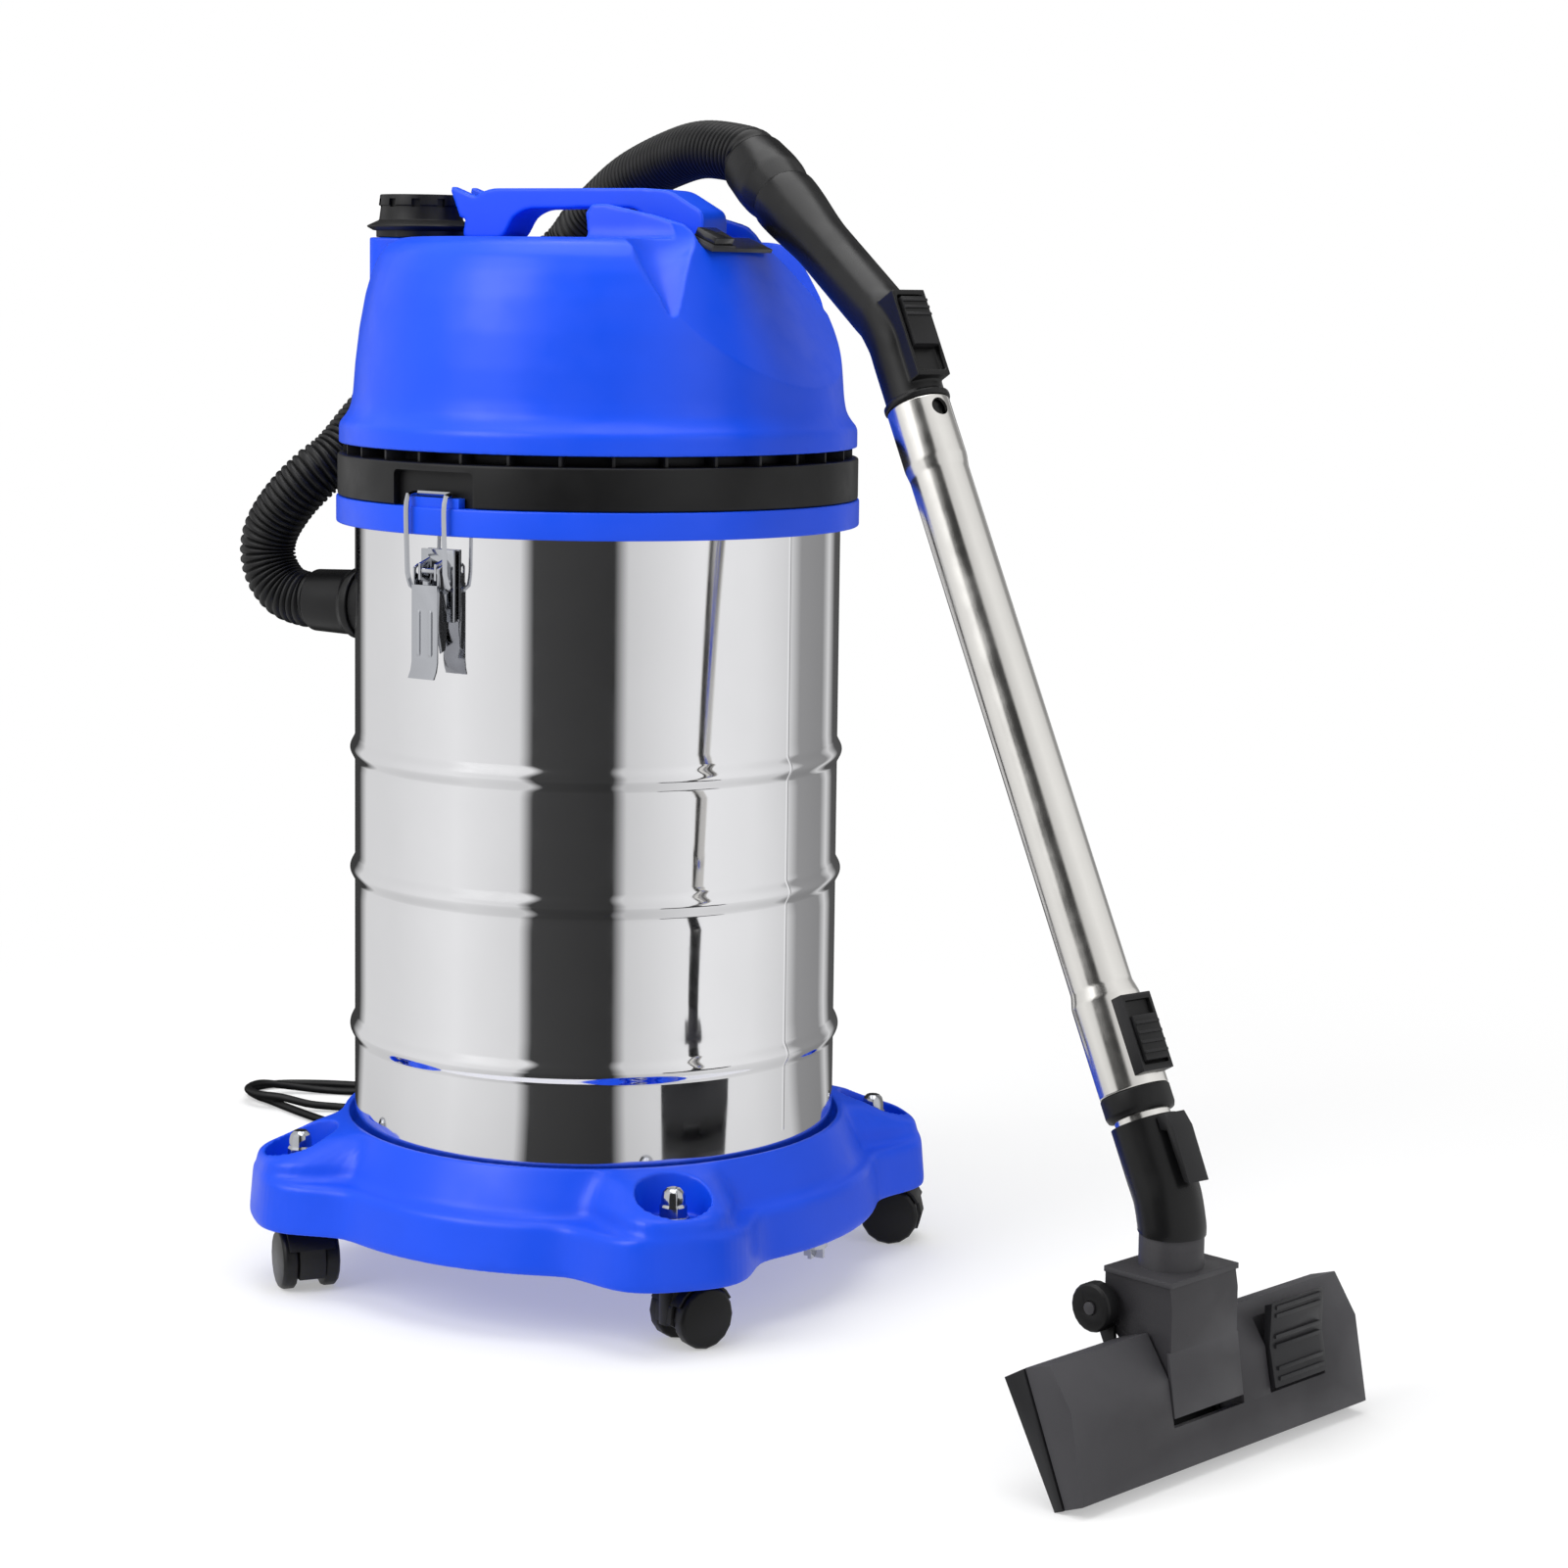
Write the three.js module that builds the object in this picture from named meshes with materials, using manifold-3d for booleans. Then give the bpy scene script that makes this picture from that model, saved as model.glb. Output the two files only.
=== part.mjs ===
// Wet and dry vacuum cleaner: steel tank on a castor dolly, two-motor head, hose,
// telescopic wand and floor nozzle. Millimetres, +Z up, origin on the floor under the tank's
// axis, front towards -Y. Azimuths are degrees from the front, counted towards +X.
import * as THREE from 'three';
import { mergeVertices } from 'three/addons/utils/BufferGeometryUtils.js';
import Module from 'manifold-3d';

const wasm = await Module();
wasm.setup();

// Driving dimensions
const GAP = 0.3;
const TANK = {
  radius: 170, wall: 1, bottom: 100.3, top: 541, beads: [175, 287, 372], bulge: 3.4, bead: 9,
};
const DOLLY = { bottom: 46, step: 79, shelf: 92, top: 112, inner: 174, floor: 100, boltRadius: 211 };
const CASTOR = {
  azimuths: [45, -45, -135, 135], trails: [20, 64, -41, 150], wheel: 21, trail: 15, width: 40,
};
const RIM = { outer: 183, bottom: 530.5, top: 549 };
const RING = { outer: 182, bottom: 549.3, top: 578, inner: 164 };
const VENT = { top: 585, outer: 178, ribs: 32 };
const HEAD = { lip: 585.3, deck: 727.5, wall: 3 };
const CHIN = { bottomY: -170, bottomZ: 629, lean: THREE.MathUtils.degToRad(33.7), radius: 500, spread: 400 };
const SLOT = { half: 44, front: -92, tilt: THREE.MathUtils.degToRad(23) };
const HANDLE = { half: 17, top: 762.5, under: 749 };
const PORT = { x: -5, y: 146, radius: 30, top: 758, bore: 24 };
const LATCH = {
  azimuths: [-97, 83], pinZ: 507, pinOut: 181.5, wire: 3.6, half: 16.2, width: 22, pivotDrop: 13,
};
const HOSE = { outer: 20.5, bore: 16, inletZ: 462, cuffEnd: 240 };
const WAND = {
  foot: [-183.6, -510.2, 150], azimuth: -25.8, lean: 28.4, radius: 19.5, low: 75, top: 535, inner: 17.5,
};
const GRIP = { bend: 592, angle: 32.7, twist: 13.6, length: 171.6, cuff: 53, flare: 66 };
const NOZZLE = {
  azimuth: -17.5, left: -123, right: 154, bay: 33.5, hood: 31.5, collar: 19.6, plate: 118,
  axleY: 24, axleZ: 95,
};
const CORD = {
  radius: 3.25, gland: 108, exitZ: 563, pitch: 6.7, coilX: 333, coilY: 139.4, turn: 39, across: 3, high: 4,
};

const rad = THREE.MathUtils.degToRad;

// Materials
const paint = (color, roughness, metalness = 0) => new THREE.MeshStandardMaterial({ color, roughness,
    metalness });
const BLUE = paint(0x1f4fe6, 0.38);
const BLACK = paint(0x17181a, 0.5);
const CHARCOAL = paint(0x333336, 0.55);
const RUBBER = paint(0x101012, 0.7);
const STEEL = paint(0xc9cacc, 0.12, 1);
const CHROME = paint(0xd8dadc, 0.08, 1);
const CLOTH = paint(0xd9d6cc, 0.9);

// Solids
function toSolid(geometry) {
  const bare = geometry.clone();
  for (const name of Object.keys(bare.attributes)) {
    if (name !== 'position') bare.deleteAttribute(name);
  }
  const merged = mergeVertices(bare, 1e-4);
  const at = merged.attributes.position.array;
  const index = merged.index.array;
  const kept = [];
  let volume = 0;
  const corners = [new THREE.Vector3(), new THREE.Vector3(), new THREE.Vector3()];
  for (let i = 0; i < index.length; i += 3) {
    const [a, b, c] = [index[i], index[i + 1], index[i + 2]];
    if (a === b || b === c || a === c) continue;
    corners.forEach((corner, k) => corner.fromArray(at, 3 * index[i + k]));
    volume += corners[0].dot(corners[1].clone().cross(corners[2]));
    kept.push(a, b, c);
  }
  if (volume < 0) kept.reverse();
  const mesh = new wasm.Mesh({
    numProp: 3,
    vertProperties: new Float32Array(at),
    triVerts: new Uint32Array(kept),
  });
  return new wasm.Manifold(mesh);
}

function toGeometry(solid) {
  const { vertProperties, triVerts } = solid.getMesh();
  const geometry = new THREE.BufferGeometry();
  geometry.setAttribute('position', new THREE.BufferAttribute(new Float32Array(vertProperties), 3));
  geometry.setIndex(new THREE.BufferAttribute(new Uint32Array(triVerts), 1));
  geometry.computeVertexNormals();
  return geometry;
}

const join = (...parts) => toGeometry(parts.map(toSolid).reduce((whole, part) => whole.add(part)));
const cut = (base, ...tools) => toGeometry(tools.map(toSolid).reduce((whole,
    tool) => whole.subtract(tool), toSolid(base)));
const common = (a, b) => toGeometry(toSolid(a).intersect(toSolid(b)));

// Shapes, each with its own Z as the long or turning axis
function lathe(profile, segments = 40) {
  const points = profile.map(([r, z]) => new THREE.Vector2(r, z));
  if (profile[0][0] > 0) points.push(points[0].clone());
  return new THREE.LatheGeometry(points, segments).rotateX(Math.PI / 2);
}

function rod(radius, length, segments = 24, top = radius) {
  return new THREE.CylinderGeometry(top, radius, length, segments).rotateX(Math.PI / 2).translate(0, 0,
    length / 2);
}

function pipe(outer, inner, length, segments = 32) {
  return lathe([[inner, 0], [outer, 0], [outer, length], [inner, length]], segments);
}

function block(x0, x1, y0, y1, z0, z1) {
  return new THREE.BoxGeometry(x1 - x0, y1 - y0, z1 - z0).translate((x0 + x1) / 2, (y0 + y1) / 2,
    (z0 + z1) / 2);
}

function extrude(outline, depth) {
  const shape = outline instanceof THREE.Shape ? outline : new THREE.Shape(outline.map(([x,
    y]) => new THREE.Vector2(x, y)));
  return new THREE.ExtrudeGeometry(shape, { depth, bevelEnabled: false, curveSegments: 4 });
}

// A side profile of (y, z) points, drawn out along X from x0 to x1.
function profileAlongX(outline, x0, x1) {
  const basis = new THREE.Matrix4().makeBasis(new THREE.Vector3(0, 1, 0), new THREE.Vector3(0, 0, 1),
    new THREE.Vector3(1, 0, 0));
  return extrude(outline, x1 - x0).applyMatrix4(basis).translate(x0, 0, 0);
}

function roundedRect(x0, x1, y0, y1, r) {
  const shape = new THREE.Shape();
  shape.moveTo(x0 + r, y0);
  shape.lineTo(x1 - r, y0);
  shape.absarc(x1 - r, y0 + r, r, -Math.PI / 2, 0);
  shape.lineTo(x1, y1 - r);
  shape.absarc(x1 - r, y1 - r, r, 0, Math.PI / 2);
  shape.lineTo(x0 + r, y1);
  shape.absarc(x0 + r, y1 - r, r, Math.PI / 2, Math.PI);
  shape.lineTo(x0, y0 + r);
  shape.absarc(x0 + r, y0 + r, r, Math.PI, Math.PI * 1.5);
  return shape;
}

// A round bar or tube that follows a curve.
function swept(curve, radius, sides, steps) {
  const corners = Array.from({ length: sides }, (_, i) => {
    const angle = (2 * Math.PI * i) / sides;
    return new THREE.Vector2(radius * Math.cos(angle), radius * Math.sin(angle));
  });
  return new THREE.ExtrudeGeometry(new THREE.Shape(corners), { steps, bevelEnabled: false,
      extrudePath: curve });
}

const through = (points, tension = 0.5) => new THREE.CatmullRomCurve3(
  points.map((p) => new THREE.Vector3(...p)), false, 'catmullrom', tension);

// Equal rings of points joined side by side, with both ends closed.
function loft(rings) {
  const count = rings[0].length;
  const at = rings.flat().flatMap((p) => [p.x, p.y, p.z]);
  const index = [];
  for (let k = 0; k < rings.length - 1; k += 1) {
    for (let i = 0; i < count; i += 1) {
      const [a, b] = [k * count + i, k * count + ((i + 1) % count)];
      index.push(a, b, b + count, a, b + count, a + count);
    }
  }
  [rings[0], rings[rings.length - 1]].forEach((ring, end) => {
    const middle = ring.reduce((sum, p) => sum.add(p), new THREE.Vector3()).divideScalar(count);
    const centre = at.length / 3;
    at.push(middle.x, middle.y, middle.z);
    const start = end ? (rings.length - 1) * count : 0;
    for (let i = 0; i < count; i += 1) {
      const [a, b] = [start + i, start + ((i + 1) % count)];
      if (end) index.push(centre, a, b);
      else index.push(centre, b, a);
    }
  });
  const geometry = new THREE.BufferGeometry();
  geometry.setAttribute('position', new THREE.BufferAttribute(new Float32Array(at), 3));
  geometry.setIndex(index);
  return geometry;
}

const turned = (geometry, azimuth) => geometry.clone().rotateZ(rad(azimuth));

// Scene graph
const machine = new THREE.Group();

function add(name, geometry, material, parent = machine) {
  const mesh = new THREE.Mesh(geometry, material);
  mesh.name = name;
  parent.add(mesh);
  return mesh;
}

function frame(parent, x, y, z, azimuth = 0) {
  const group = new THREE.Group();
  group.position.set(x, y, z);
  group.rotation.z = rad(azimuth);
  parent.add(group);
  return group;
}

// Tank: an open steel drum with three rolled beads
function tank() {
  const { radius, wall, bottom, top, beads, bulge, bead } = TANK;
  const outside = [[radius - 6, bottom], [radius, bottom + 6]];
  for (const z of beads) {
    outside.push([radius, z - bead], [radius + bulge, z - bead / 3], [radius + bulge, z + bead / 3]);
    outside.push([radius, z + bead]);
  }
  const inside = [[radius - wall, top], [radius - wall, bottom + 7], [radius - 7, bottom + wall],
    [0, bottom + wall]];
  const shell = lathe([[0, bottom], ...outside, [radius, top], ...inside]);
  const inlet = rod(HOSE.bore + 3, 40).rotateX(-Math.PI / 2).translate(0, radius - 20, HOSE.inletZ);
  return cut(shell, inlet);
}
add('tank', tank(), STEEL);

// Dolly: a blue skirt with four castor lobes that the tank stands in
function dollyRing(base, lobe, z, spread = 15) {
  const ring = [];
  const count = 48;
  for (let i = 0; i < count; i += 1) {
    const angle = (360 * i) / count;
    const off = ((angle % 90) + 90) % 90 - 45;
    const r = base + lobe * Math.exp(-((off / spread) ** 4));
    ring.push(new THREE.Vector3(r * Math.sin(rad(angle)), -r * Math.cos(rad(angle)), z));
  }
  return ring;
}

function dolly() {
  const { bottom, step, shelf, top, inner, floor, boltRadius } = DOLLY;
  const outside = loft([
    dollyRing(204, 41, bottom), dollyRing(199.5, 43, step),
    dollyRing(191, 50, step + 4, 12), dollyRing(187, 52, shelf, 12), dollyRing(180, 22, top - 5, 11),
    dollyRing(inner + 3.5, 2, top),
  ]);
  const hollow = loft([
    dollyRing(200, 41, bottom - 1), dollyRing(195, 43, step - 4), dollyRing(180, 48, step + 2, 12),
    dollyRing(176, 16, floor - 4, 11),
  ]);
  const seat = lathe([[0, floor], [170.3, floor], [inner, floor + 6], [inner, top + 1], [0, top + 1]]);
  const around = (geometry) => CASTOR.azimuths.map((a) => turned(geometry.clone().translate(0,
      -boltRadius, 0), a));
  const pillars = around(rod(26.5, 60, 16).translate(0, 0, bottom + 2));
  const pockets = around(lathe([[14.5, 82], [24, 82], [27, 125], [0, 125], [0, 86], [14.5, 86]], 14));
  const studs = around(rod(5.3, 90, 12).translate(0, 0, bottom - 10));
  const ribs = [45, 135].map((a) => turned(block(-176, 176, -2, 2, step, floor - 1), a));
  const inside = common(join(...pillars, ...ribs), outside);
  return cut(join(cut(outside, hollow), inside), seat, ...pockets, ...studs);
}
add('dolly_base', dolly(), BLUE);

// Castors: a bolt through each lobe, a hood that swivels on it and a twin wheel
function castorBolt() {
  return join(lathe([[0, 72], [4.9, 72], [4.9, 86.4], [11, 86.4], [11, 88], [9.2, 88], [9.2, 95],
    [8, 96.5], [8, 101], [7, 104.5], [4.5, 107], [0, 108]], 10));
}

function castorHood() {
  const { wheel, trail, width } = CASTOR;
  const half = width / 2 - 11;
  const outline = new THREE.Shape();
  outline.absarc(0, 0, wheel + 2, rad(-28), rad(180 + 8), false);
  outline.lineTo(-8, -wheel + 9);
  outline.lineTo(8, -wheel + 9);
  const web = extrude(outline, 2 * half).translate(0, 0, -half)
    .applyMatrix4(new THREE.Matrix4().makeBasis(new THREE.Vector3(0, -1, 0), new THREE.Vector3(0, 0, 1),
      new THREE.Vector3(-1, 0, 0)))
    .translate(0, -trail, wheel);
  const cover = new THREE.Shape();
  cover.absarc(0, 0, wheel + 2.4, rad(25), rad(155), false);
  cover.absarc(0, 0, wheel + 0.5, rad(155), rad(25), true);
  const roof = extrude(cover, width - 8).translate(0, 0, -(width - 8) / 2)
    .applyMatrix4(new THREE.Matrix4().makeBasis(new THREE.Vector3(0, -1, 0), new THREE.Vector3(0, 0, 1),
      new THREE.Vector3(-1, 0, 0)))
    .translate(0, -trail, wheel);
  const socket = rod(9, 40.5, 16).translate(0, 0, 5);
  const whole = join(web, roof, common(socket, block(-9, 9, -9, 9, 16, 45.5)));
  const axle = rod(3.6, 80, 12).translate(0, 0, -40).rotateY(Math.PI / 2).translate(0, -trail, wheel);
  const bore = rod(5.4, 30, 12).translate(0, 0, 38);
  return cut(whole, axle, bore);
}

function castorWheel() {
  const { wheel, width, trail } = CASTOR;
  const [in1, out1] = [width / 2 - 10.4, width / 2];
  const half = [[0, 0], [3.2, 0], [3.2, in1], [wheel - 1, in1], [wheel, in1 + 1], [wheel, out1 - 2],
    [wheel - 2, out1], [0, out1]];
  const one = lathe(half, 16);
  return join(one, one.clone().rotateX(Math.PI)).rotateY(Math.PI / 2).translate(0, -trail, wheel);
}

CASTOR.azimuths.forEach((azimuth, i) => {
  const place = new THREE.Vector3(Math.sin(rad(azimuth)), -Math.cos(rad(azimuth)),
    0).multiplyScalar(DOLLY.boltRadius);
  const bolt = frame(machine, place.x, place.y, 0, azimuth);
  add(`castor_bolt_${i + 1}`, castorBolt(), CHROME, bolt);
  const swivel = frame(machine, place.x, place.y, 0, CASTOR.trails[i]);
  add(`castor_hood_${i + 1}`, castorHood(), BLACK, swivel);
  add(`castor_wheel_${i + 1}`, castorWheel(), RUBBER, swivel);
});

// Drain plug under the front of the dolly
function drainPlug() {
  const body = lathe([[0, 34], [9, 34], [9, 40], [11, 40], [11, 50], [5.5, 50], [5.5, 62], [0, 62]], 12);
  const wing = block(-7.5, 7.5, -1.4, 1.4, 27, 34.5);
  return join(body, wing, turned(wing, 90));
}
add('drain_plug', drainPlug().translate(0, -178, 0), CHROME);

// Rim ring: blue collar that closes the tank, with a lug under each latch hook
function rimRing() {
  const { outer, bottom, top } = RIM;
  const seal = TANK.top + GAP;
  const ring = lathe([[171, bottom], [outer, bottom], [outer, top], [158, top], [158, seal],
    [171, seal]], 44);
  const lug = common(block(-23, 23, -182, -173.5, top - 1, top + 6.5), rod(181.4, 30, 96).translate(0,
    0, top - 5));
  return join(ring, ...LATCH.azimuths.map((a) => turned(lug, a)));
}
add('rim_ring', rimRing(), BLUE);

// Motor base: black ring with a floor plate and a window over each latch
function motorBase() {
  const { outer, bottom, top, inner } = RING;
  const body = lathe([[42, 552], [inner, 552], [inner, bottom], [outer, bottom], [outer, top - 2.5],
    [outer - 2.5, top], [inner - 6, top], [inner - 6, 556], [42, 556]], 44);
  const window = block(-34, 34, -200, -172.5, bottom - 5, 573);
  return cut(body, ...LATCH.azimuths.map((a) => turned(window, a)));
}
add('motor_base', motorBase(), BLACK);

// Vent ring: upright fins in the gap between the base and the cover
function ventRing() {
  const { top, outer, ribs } = VENT;
  const low = RING.top + GAP;
  const core = lathe([[158, low], [163, low], [163, top], [158, top]], 36);
  const fins = [];
  for (let i = 0; i < ribs; i += 1) {
    fins.push(turned(block(-1, 1, -outer, -162, low, top), (360 * i) / ribs));
  }
  return join(core, ...fins);
}
add('vent_ring', ventRing(), BLACK);

// Head cover: domed blue shell with a slanted chin, two cheeks beside the switch slot and a port block
function chinSpace() {
  const { bottomY, bottomZ, lean, radius, spread } = CHIN;
  const [span, steps, back, reach] = [0.3, 20, 420, 500];
  const outline = [];
  for (let i = 0; i <= steps; i += 1) {
    const angle = -span + (2 * span * i) / steps;
    outline.push([radius * Math.sin(angle), -radius * Math.cos(angle) + radius]);
  }
  outline.push([radius * Math.sin(span) + spread, back], [-radius * Math.sin(span) - spread, back]);
  return extrude(outline, 2 * reach).translate(0, 0, -reach).rotateX(-lean).translate(0, bottomY, bottomZ);
}

function headCover() {
  const { lip, deck, wall } = HEAD;
  const outside = [[181, lip], [181, 599], [176.5, 604], [173, 610], [171.3, 620], [169.8, 640],
    [166.8, 665], [162.6, 688], [158, 704], [152.5, 716], [145.5, 723.5], [137, 726.8], [128, deck]];
  const dome = lathe([[0, lip], ...outside, [0, deck]], 52);
  const portBlock = extrude(roundedRect(PORT.x - 31, PORT.x + 31, 60, 174, 12), deck - 612)
    .translate(0, 0, 612);
  const crest = [[-17, 745], [-22, 750.8], [-32, 751], [-70, 743.5], [-92, 737.5], [-103, 729],
    [-110, 716], [-190, 640], [-190, 620], [-40, 620]];
  const wide = profileAlongX(crest, -150, 150);
  const flare = loft([[640, 250], [690, 132], [728, 70], [752, 49.5]].map(([z, half]) => [
    new THREE.Vector3(-half, -8, z), new THREE.Vector3(half, -8, z),
    new THREE.Vector3(half * 1.05, -230, z), new THREE.Vector3(-half * 1.05, -230, z)]));
  const bulk = lathe([[0, 610], [170, 610], [169.3, 640], [166, 666], [162, 689], [157.5, 704],
    [152, 716.5], [146, 727], [136, 755], [0, 755]], 52);
  const cheeks = common(common(wide, flare), bulk);
  const body = common(join(dome, portBlock, cheeks), chinSpace());
  const slotFloor = [[-14, deck], [SLOT.front, deck],
    [-200, deck - (200 + SLOT.front) * Math.tan(SLOT.tilt)], [-200, 800], [-14, 800]];
  const slot = profileAlongX(slotFloor, -SLOT.half, SLOT.half);
  const inside = lathe([[0, lip - 1], [165, lip - 1], [165, 640], [160, 670], [153, 690], [134, 706],
    [60, 712], [0, 712]], 28);
  const hollow = common(inside, chinSpace().translate(0, wall, -wall));
  return cut(body, slot, hollow);
}
add('head_cover', headCover(), BLUE);

// Carry handle: a bridge from the deck behind to the console in front
function carryHandle() {
  const { half, top, under } = HANDLE;
  const low = HEAD.deck + GAP;
  const side = [[-91, low], [-91, 746], [-64, top - 1.5], [-44, top], [80, top], [92, top - 4],
    [100, top - 14], [104, low], [70, low], [61, 743], [50, under - 1], [0, under], [-36, under],
    [-45, 743], [-48, low]];
  const bar = profileAlongX(side, -half, half);
  const horn = [[84, 755], [97, 758], [113, 764], [113.5, 760.5], [106, 742], [96, 740]];
  return join(bar, profileAlongX(horn, -half, -half + 8), profileAlongX(horn, half - 8, half));
}
add('carry_handle', carryHandle(), BLUE);

// Exhaust port with notched mouth, at the rear of the deck
function exhaustPort() {
  const { radius, top, bore } = PORT;
  const base = HEAD.deck + GAP;
  const body = lathe([[bore, base], [radius + 2, base], [radius + 2, 732.5], [radius + 4, 732.5],
    [radius + 8.5, 735], [radius + 8.5, 736], [radius, 740], [radius - 1.3, 750], [radius + 0.2, 750.2],
    [radius - 0.8, top], [bore + 2, top], [bore, top - 3]], 28);
  const notches = [];
  for (let i = 0; i < 10; i += 1) {
    notches.push(turned(block(-3, 3, -radius - 4, -radius + 3, 749, top - 3), i * 36 + 8));
  }
  return cut(body, ...notches);
}
add('exhaust_port', exhaustPort(), BLACK, frame(machine, PORT.x, PORT.y, 0));

// Switch panel in the slot, with one rocker
const panel = new THREE.Group();
panel.position.set(0, SLOT.front, HEAD.deck);
panel.rotation.x = SLOT.tilt;
machine.add(panel);

function switchPanel() {
  const plate = block(1 - SLOT.half, SLOT.half - 1, -21.5, -1.5, GAP, 3);
  const bezel = block(-42, -12, -21.4, -1.6, GAP, 4.6);
  return cut(join(plate, bezel), block(-40.3, -13.7, -20.3, -2.7, -1, 9));
}
add('switch_panel', switchPanel(), BLACK, panel);

function rocker() {
  const outline = [[-8.4, 9.4], [8.2, 10.6], [8.2, 4], [0, 2.4], [-8.4, 4]];
  return profileAlongX(outline, -39.8, -14.2).translate(0, -11.5, 0);
}
add('rocker_switch', rocker(), BLACK, panel);

// Inside the head: motor on its fan housing, impeller, and the filter that hangs into the tank
add('motor', join(rod(62, 84, 28).translate(0, 0, 578), rod(40, 14, 28).translate(0, 0, 661),
  rod(5, 24, 12).translate(0, 0, 560)), STEEL);
add('fan_housing', lathe([[16, 574.4], [76, 574.4], [76, 556.3], [80, 556.3], [80, 577.7], [16, 577.7]],
  24), BLACK);

function impeller() {
  const blades = Array.from({ length: 8 }, (_, i) => turned(block(-1.2, 1.2, -66, -12, 558.8, 573), i * 45));
  const wheel = join(rod(70, 2.5, 28).translate(0, 0, 557), rod(14, 16, 16).translate(0, 0, 557.5),
    ...blades);
  return cut(wheel, rod(5.5, 30, 12).translate(0, 0, 550));
}
add('impeller', impeller(), STEEL);

function filter() {
  const ring = [];
  const pleats = 22;
  for (let i = 0; i < 2 * pleats; i += 1) {
    const r = i % 2 ? 70 : 77;
    const angle = (Math.PI * i) / pleats;
    ring.push([r * Math.cos(angle), r * Math.sin(angle)]);
  }
  const flange = rod(84, 5, 32).translate(0, 0, 546.7);
  const body = join(extrude(ring, 118).translate(0, 0, 430), flange);
  return cut(body, rod(58, 130, 24).translate(0, 0, 438));
}
add('filter', filter(), CLOTH);

// Latches: bracket on the tank, lever on a cross pin, wire bail hooked over the rim's lug
function latchBracket() {
  const { pinZ, pinOut, width } = LATCH;
  const plate = block(-14, 14, -174.2, -171.2, pinZ - 34, pinZ + 14);
  const curved = cut(plate, rod(TANK.radius + 1, 80, 96).translate(0, 0, pinZ - 50));
  const ear = profileAlongX([[-172, pinZ - 9], [-pinOut - 3, pinZ - 6], [-pinOut - 3, pinZ + 5],
    [-172, pinZ + 9]], -1, 1);
  const ears = [-1, 1].map((s) => ear.clone().translate(s * (width / 2 - 4.2), 0, 0));
  const pin = rod(2, width - 6.6, 10).translate(0, 0,
    -(width - 6.6) / 2).rotateY(Math.PI / 2).translate(0, -pinOut, pinZ);
  return join(curved, ...ears, pin);
}

function latchLever() {
  const { pinZ, pinOut, width, wire, pivotDrop } = LATCH;
  const flange = [[0, 4.5], [4.3, 3], [4.3, -40], [3, -52], [-1.8, -54], [-4.3, -40], [-4.3, 2]];
  const flanges = [-1, 1].map((s) => profileAlongX(flange, -0.6, 0.6).translate(s * (width / 2 - 0.6), 0,
      0));
  const face = profileAlongX([[-4.3, -9], [-4.3, -60], [-5.5, -66], [-8, -71], [-9.6, -71], [-7, -66],
    [-5.7, -60], [-5.7, -9]], -width / 2, width / 2);
  const ribs = [-1, 1].map((s) => profileAlongX([[-5, -24], [-6.6, -27], [-6.6, -55], [-5, -58]],
      s * 5 - 1.4, s * 5 + 1.4));
  const whole = join(...flanges, face, ...ribs);
  const bore = rod(2.4, 60, 10).translate(0, 0, -30).rotateY(Math.PI / 2);
  const pivot = rod(wire / 2 + 0.35, 60, 10).translate(0, 0, -30).rotateY(Math.PI / 2).translate(0, 1.2,
    -pivotDrop);
  return cut(whole, bore, pivot).translate(0, -pinOut, pinZ);
}

function bail() {
  const { pinZ, pinOut, half, wire, width, pivotDrop } = LATCH;
  const [low, high] = [pinZ - pivotDrop, RIM.top + 6.5 + wire / 2 + 0.6];
  const [inner, front, back] = [width / 2 - 2.4, -pinOut + 1.2, -178];
  const bends = (s) => [
    [s * inner, front, low], [s * (half - 2), front, low], [s * half, front - 1.5, low + 2.5],
    [s * half, front - 5, low + 12], [s * half, front - 6.5, high - 12], [s * half, front - 5, high - 1.5],
    [s * half, back - 1, high]];
  const corner = (s) => [s * (half - 2.5), back + 1.2, high];
  const route = [...bends(-1), corner(-1), corner(1), ...bends(1).reverse()];
  return swept(through(route, 0.2), wire / 2, 6, 40);
}

LATCH.azimuths.forEach((azimuth, i) => {
  const group = frame(machine, 0, 0, 0, azimuth);
  add(`latch_bracket_${i + 1}`, latchBracket(), CHROME, group);
  add(`latch_lever_${i + 1}`, latchLever(), CHROME, group);
  add(`latch_bail_${i + 1}`, bail(), CHROME, group);
});

// Hose inlet on the back of the tank
function inletSocket() {
  const flange = cut(block(-33, 33, 150, 179, -31, 31), rod(TANK.radius + GAP, 80, 96).translate(0, 0, -40));
  const spout = pipe(24.5, 19.4, 22).rotateX(-Math.PI / 2).translate(0, 175, 0);
  const bore = rod(19.4, 60, 32).rotateX(-Math.PI / 2).translate(0, 150, 0);
  return cut(join(flange, spout), bore);
}
const inlet = frame(machine, 0, 0, HOSE.inletZ);
add('inlet_socket', inletSocket(), BLACK, inlet);

function inletCuff() {
  const [start, end] = [180, HOSE.cuffEnd];
  const { bore } = HOSE;
  const body = lathe([[bore, start], [19, start], [19, 197.4], [26.5, 197.4], [26.5, 203], [24, 207],
    [22.8, end], [bore, end]], 20);
  return body.rotateX(-Math.PI / 2);
}
add('hose_inlet_cuff', inletCuff(), RUBBER, inlet);

// Wand frames: one stands under the wand's bend, the next leans with the wand towards the head.
const upright = frame(machine, ...WAND.foot, WAND.azimuth);
const wand = new THREE.Group();
wand.rotation.x = -rad(WAND.lean);
upright.add(wand);

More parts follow.
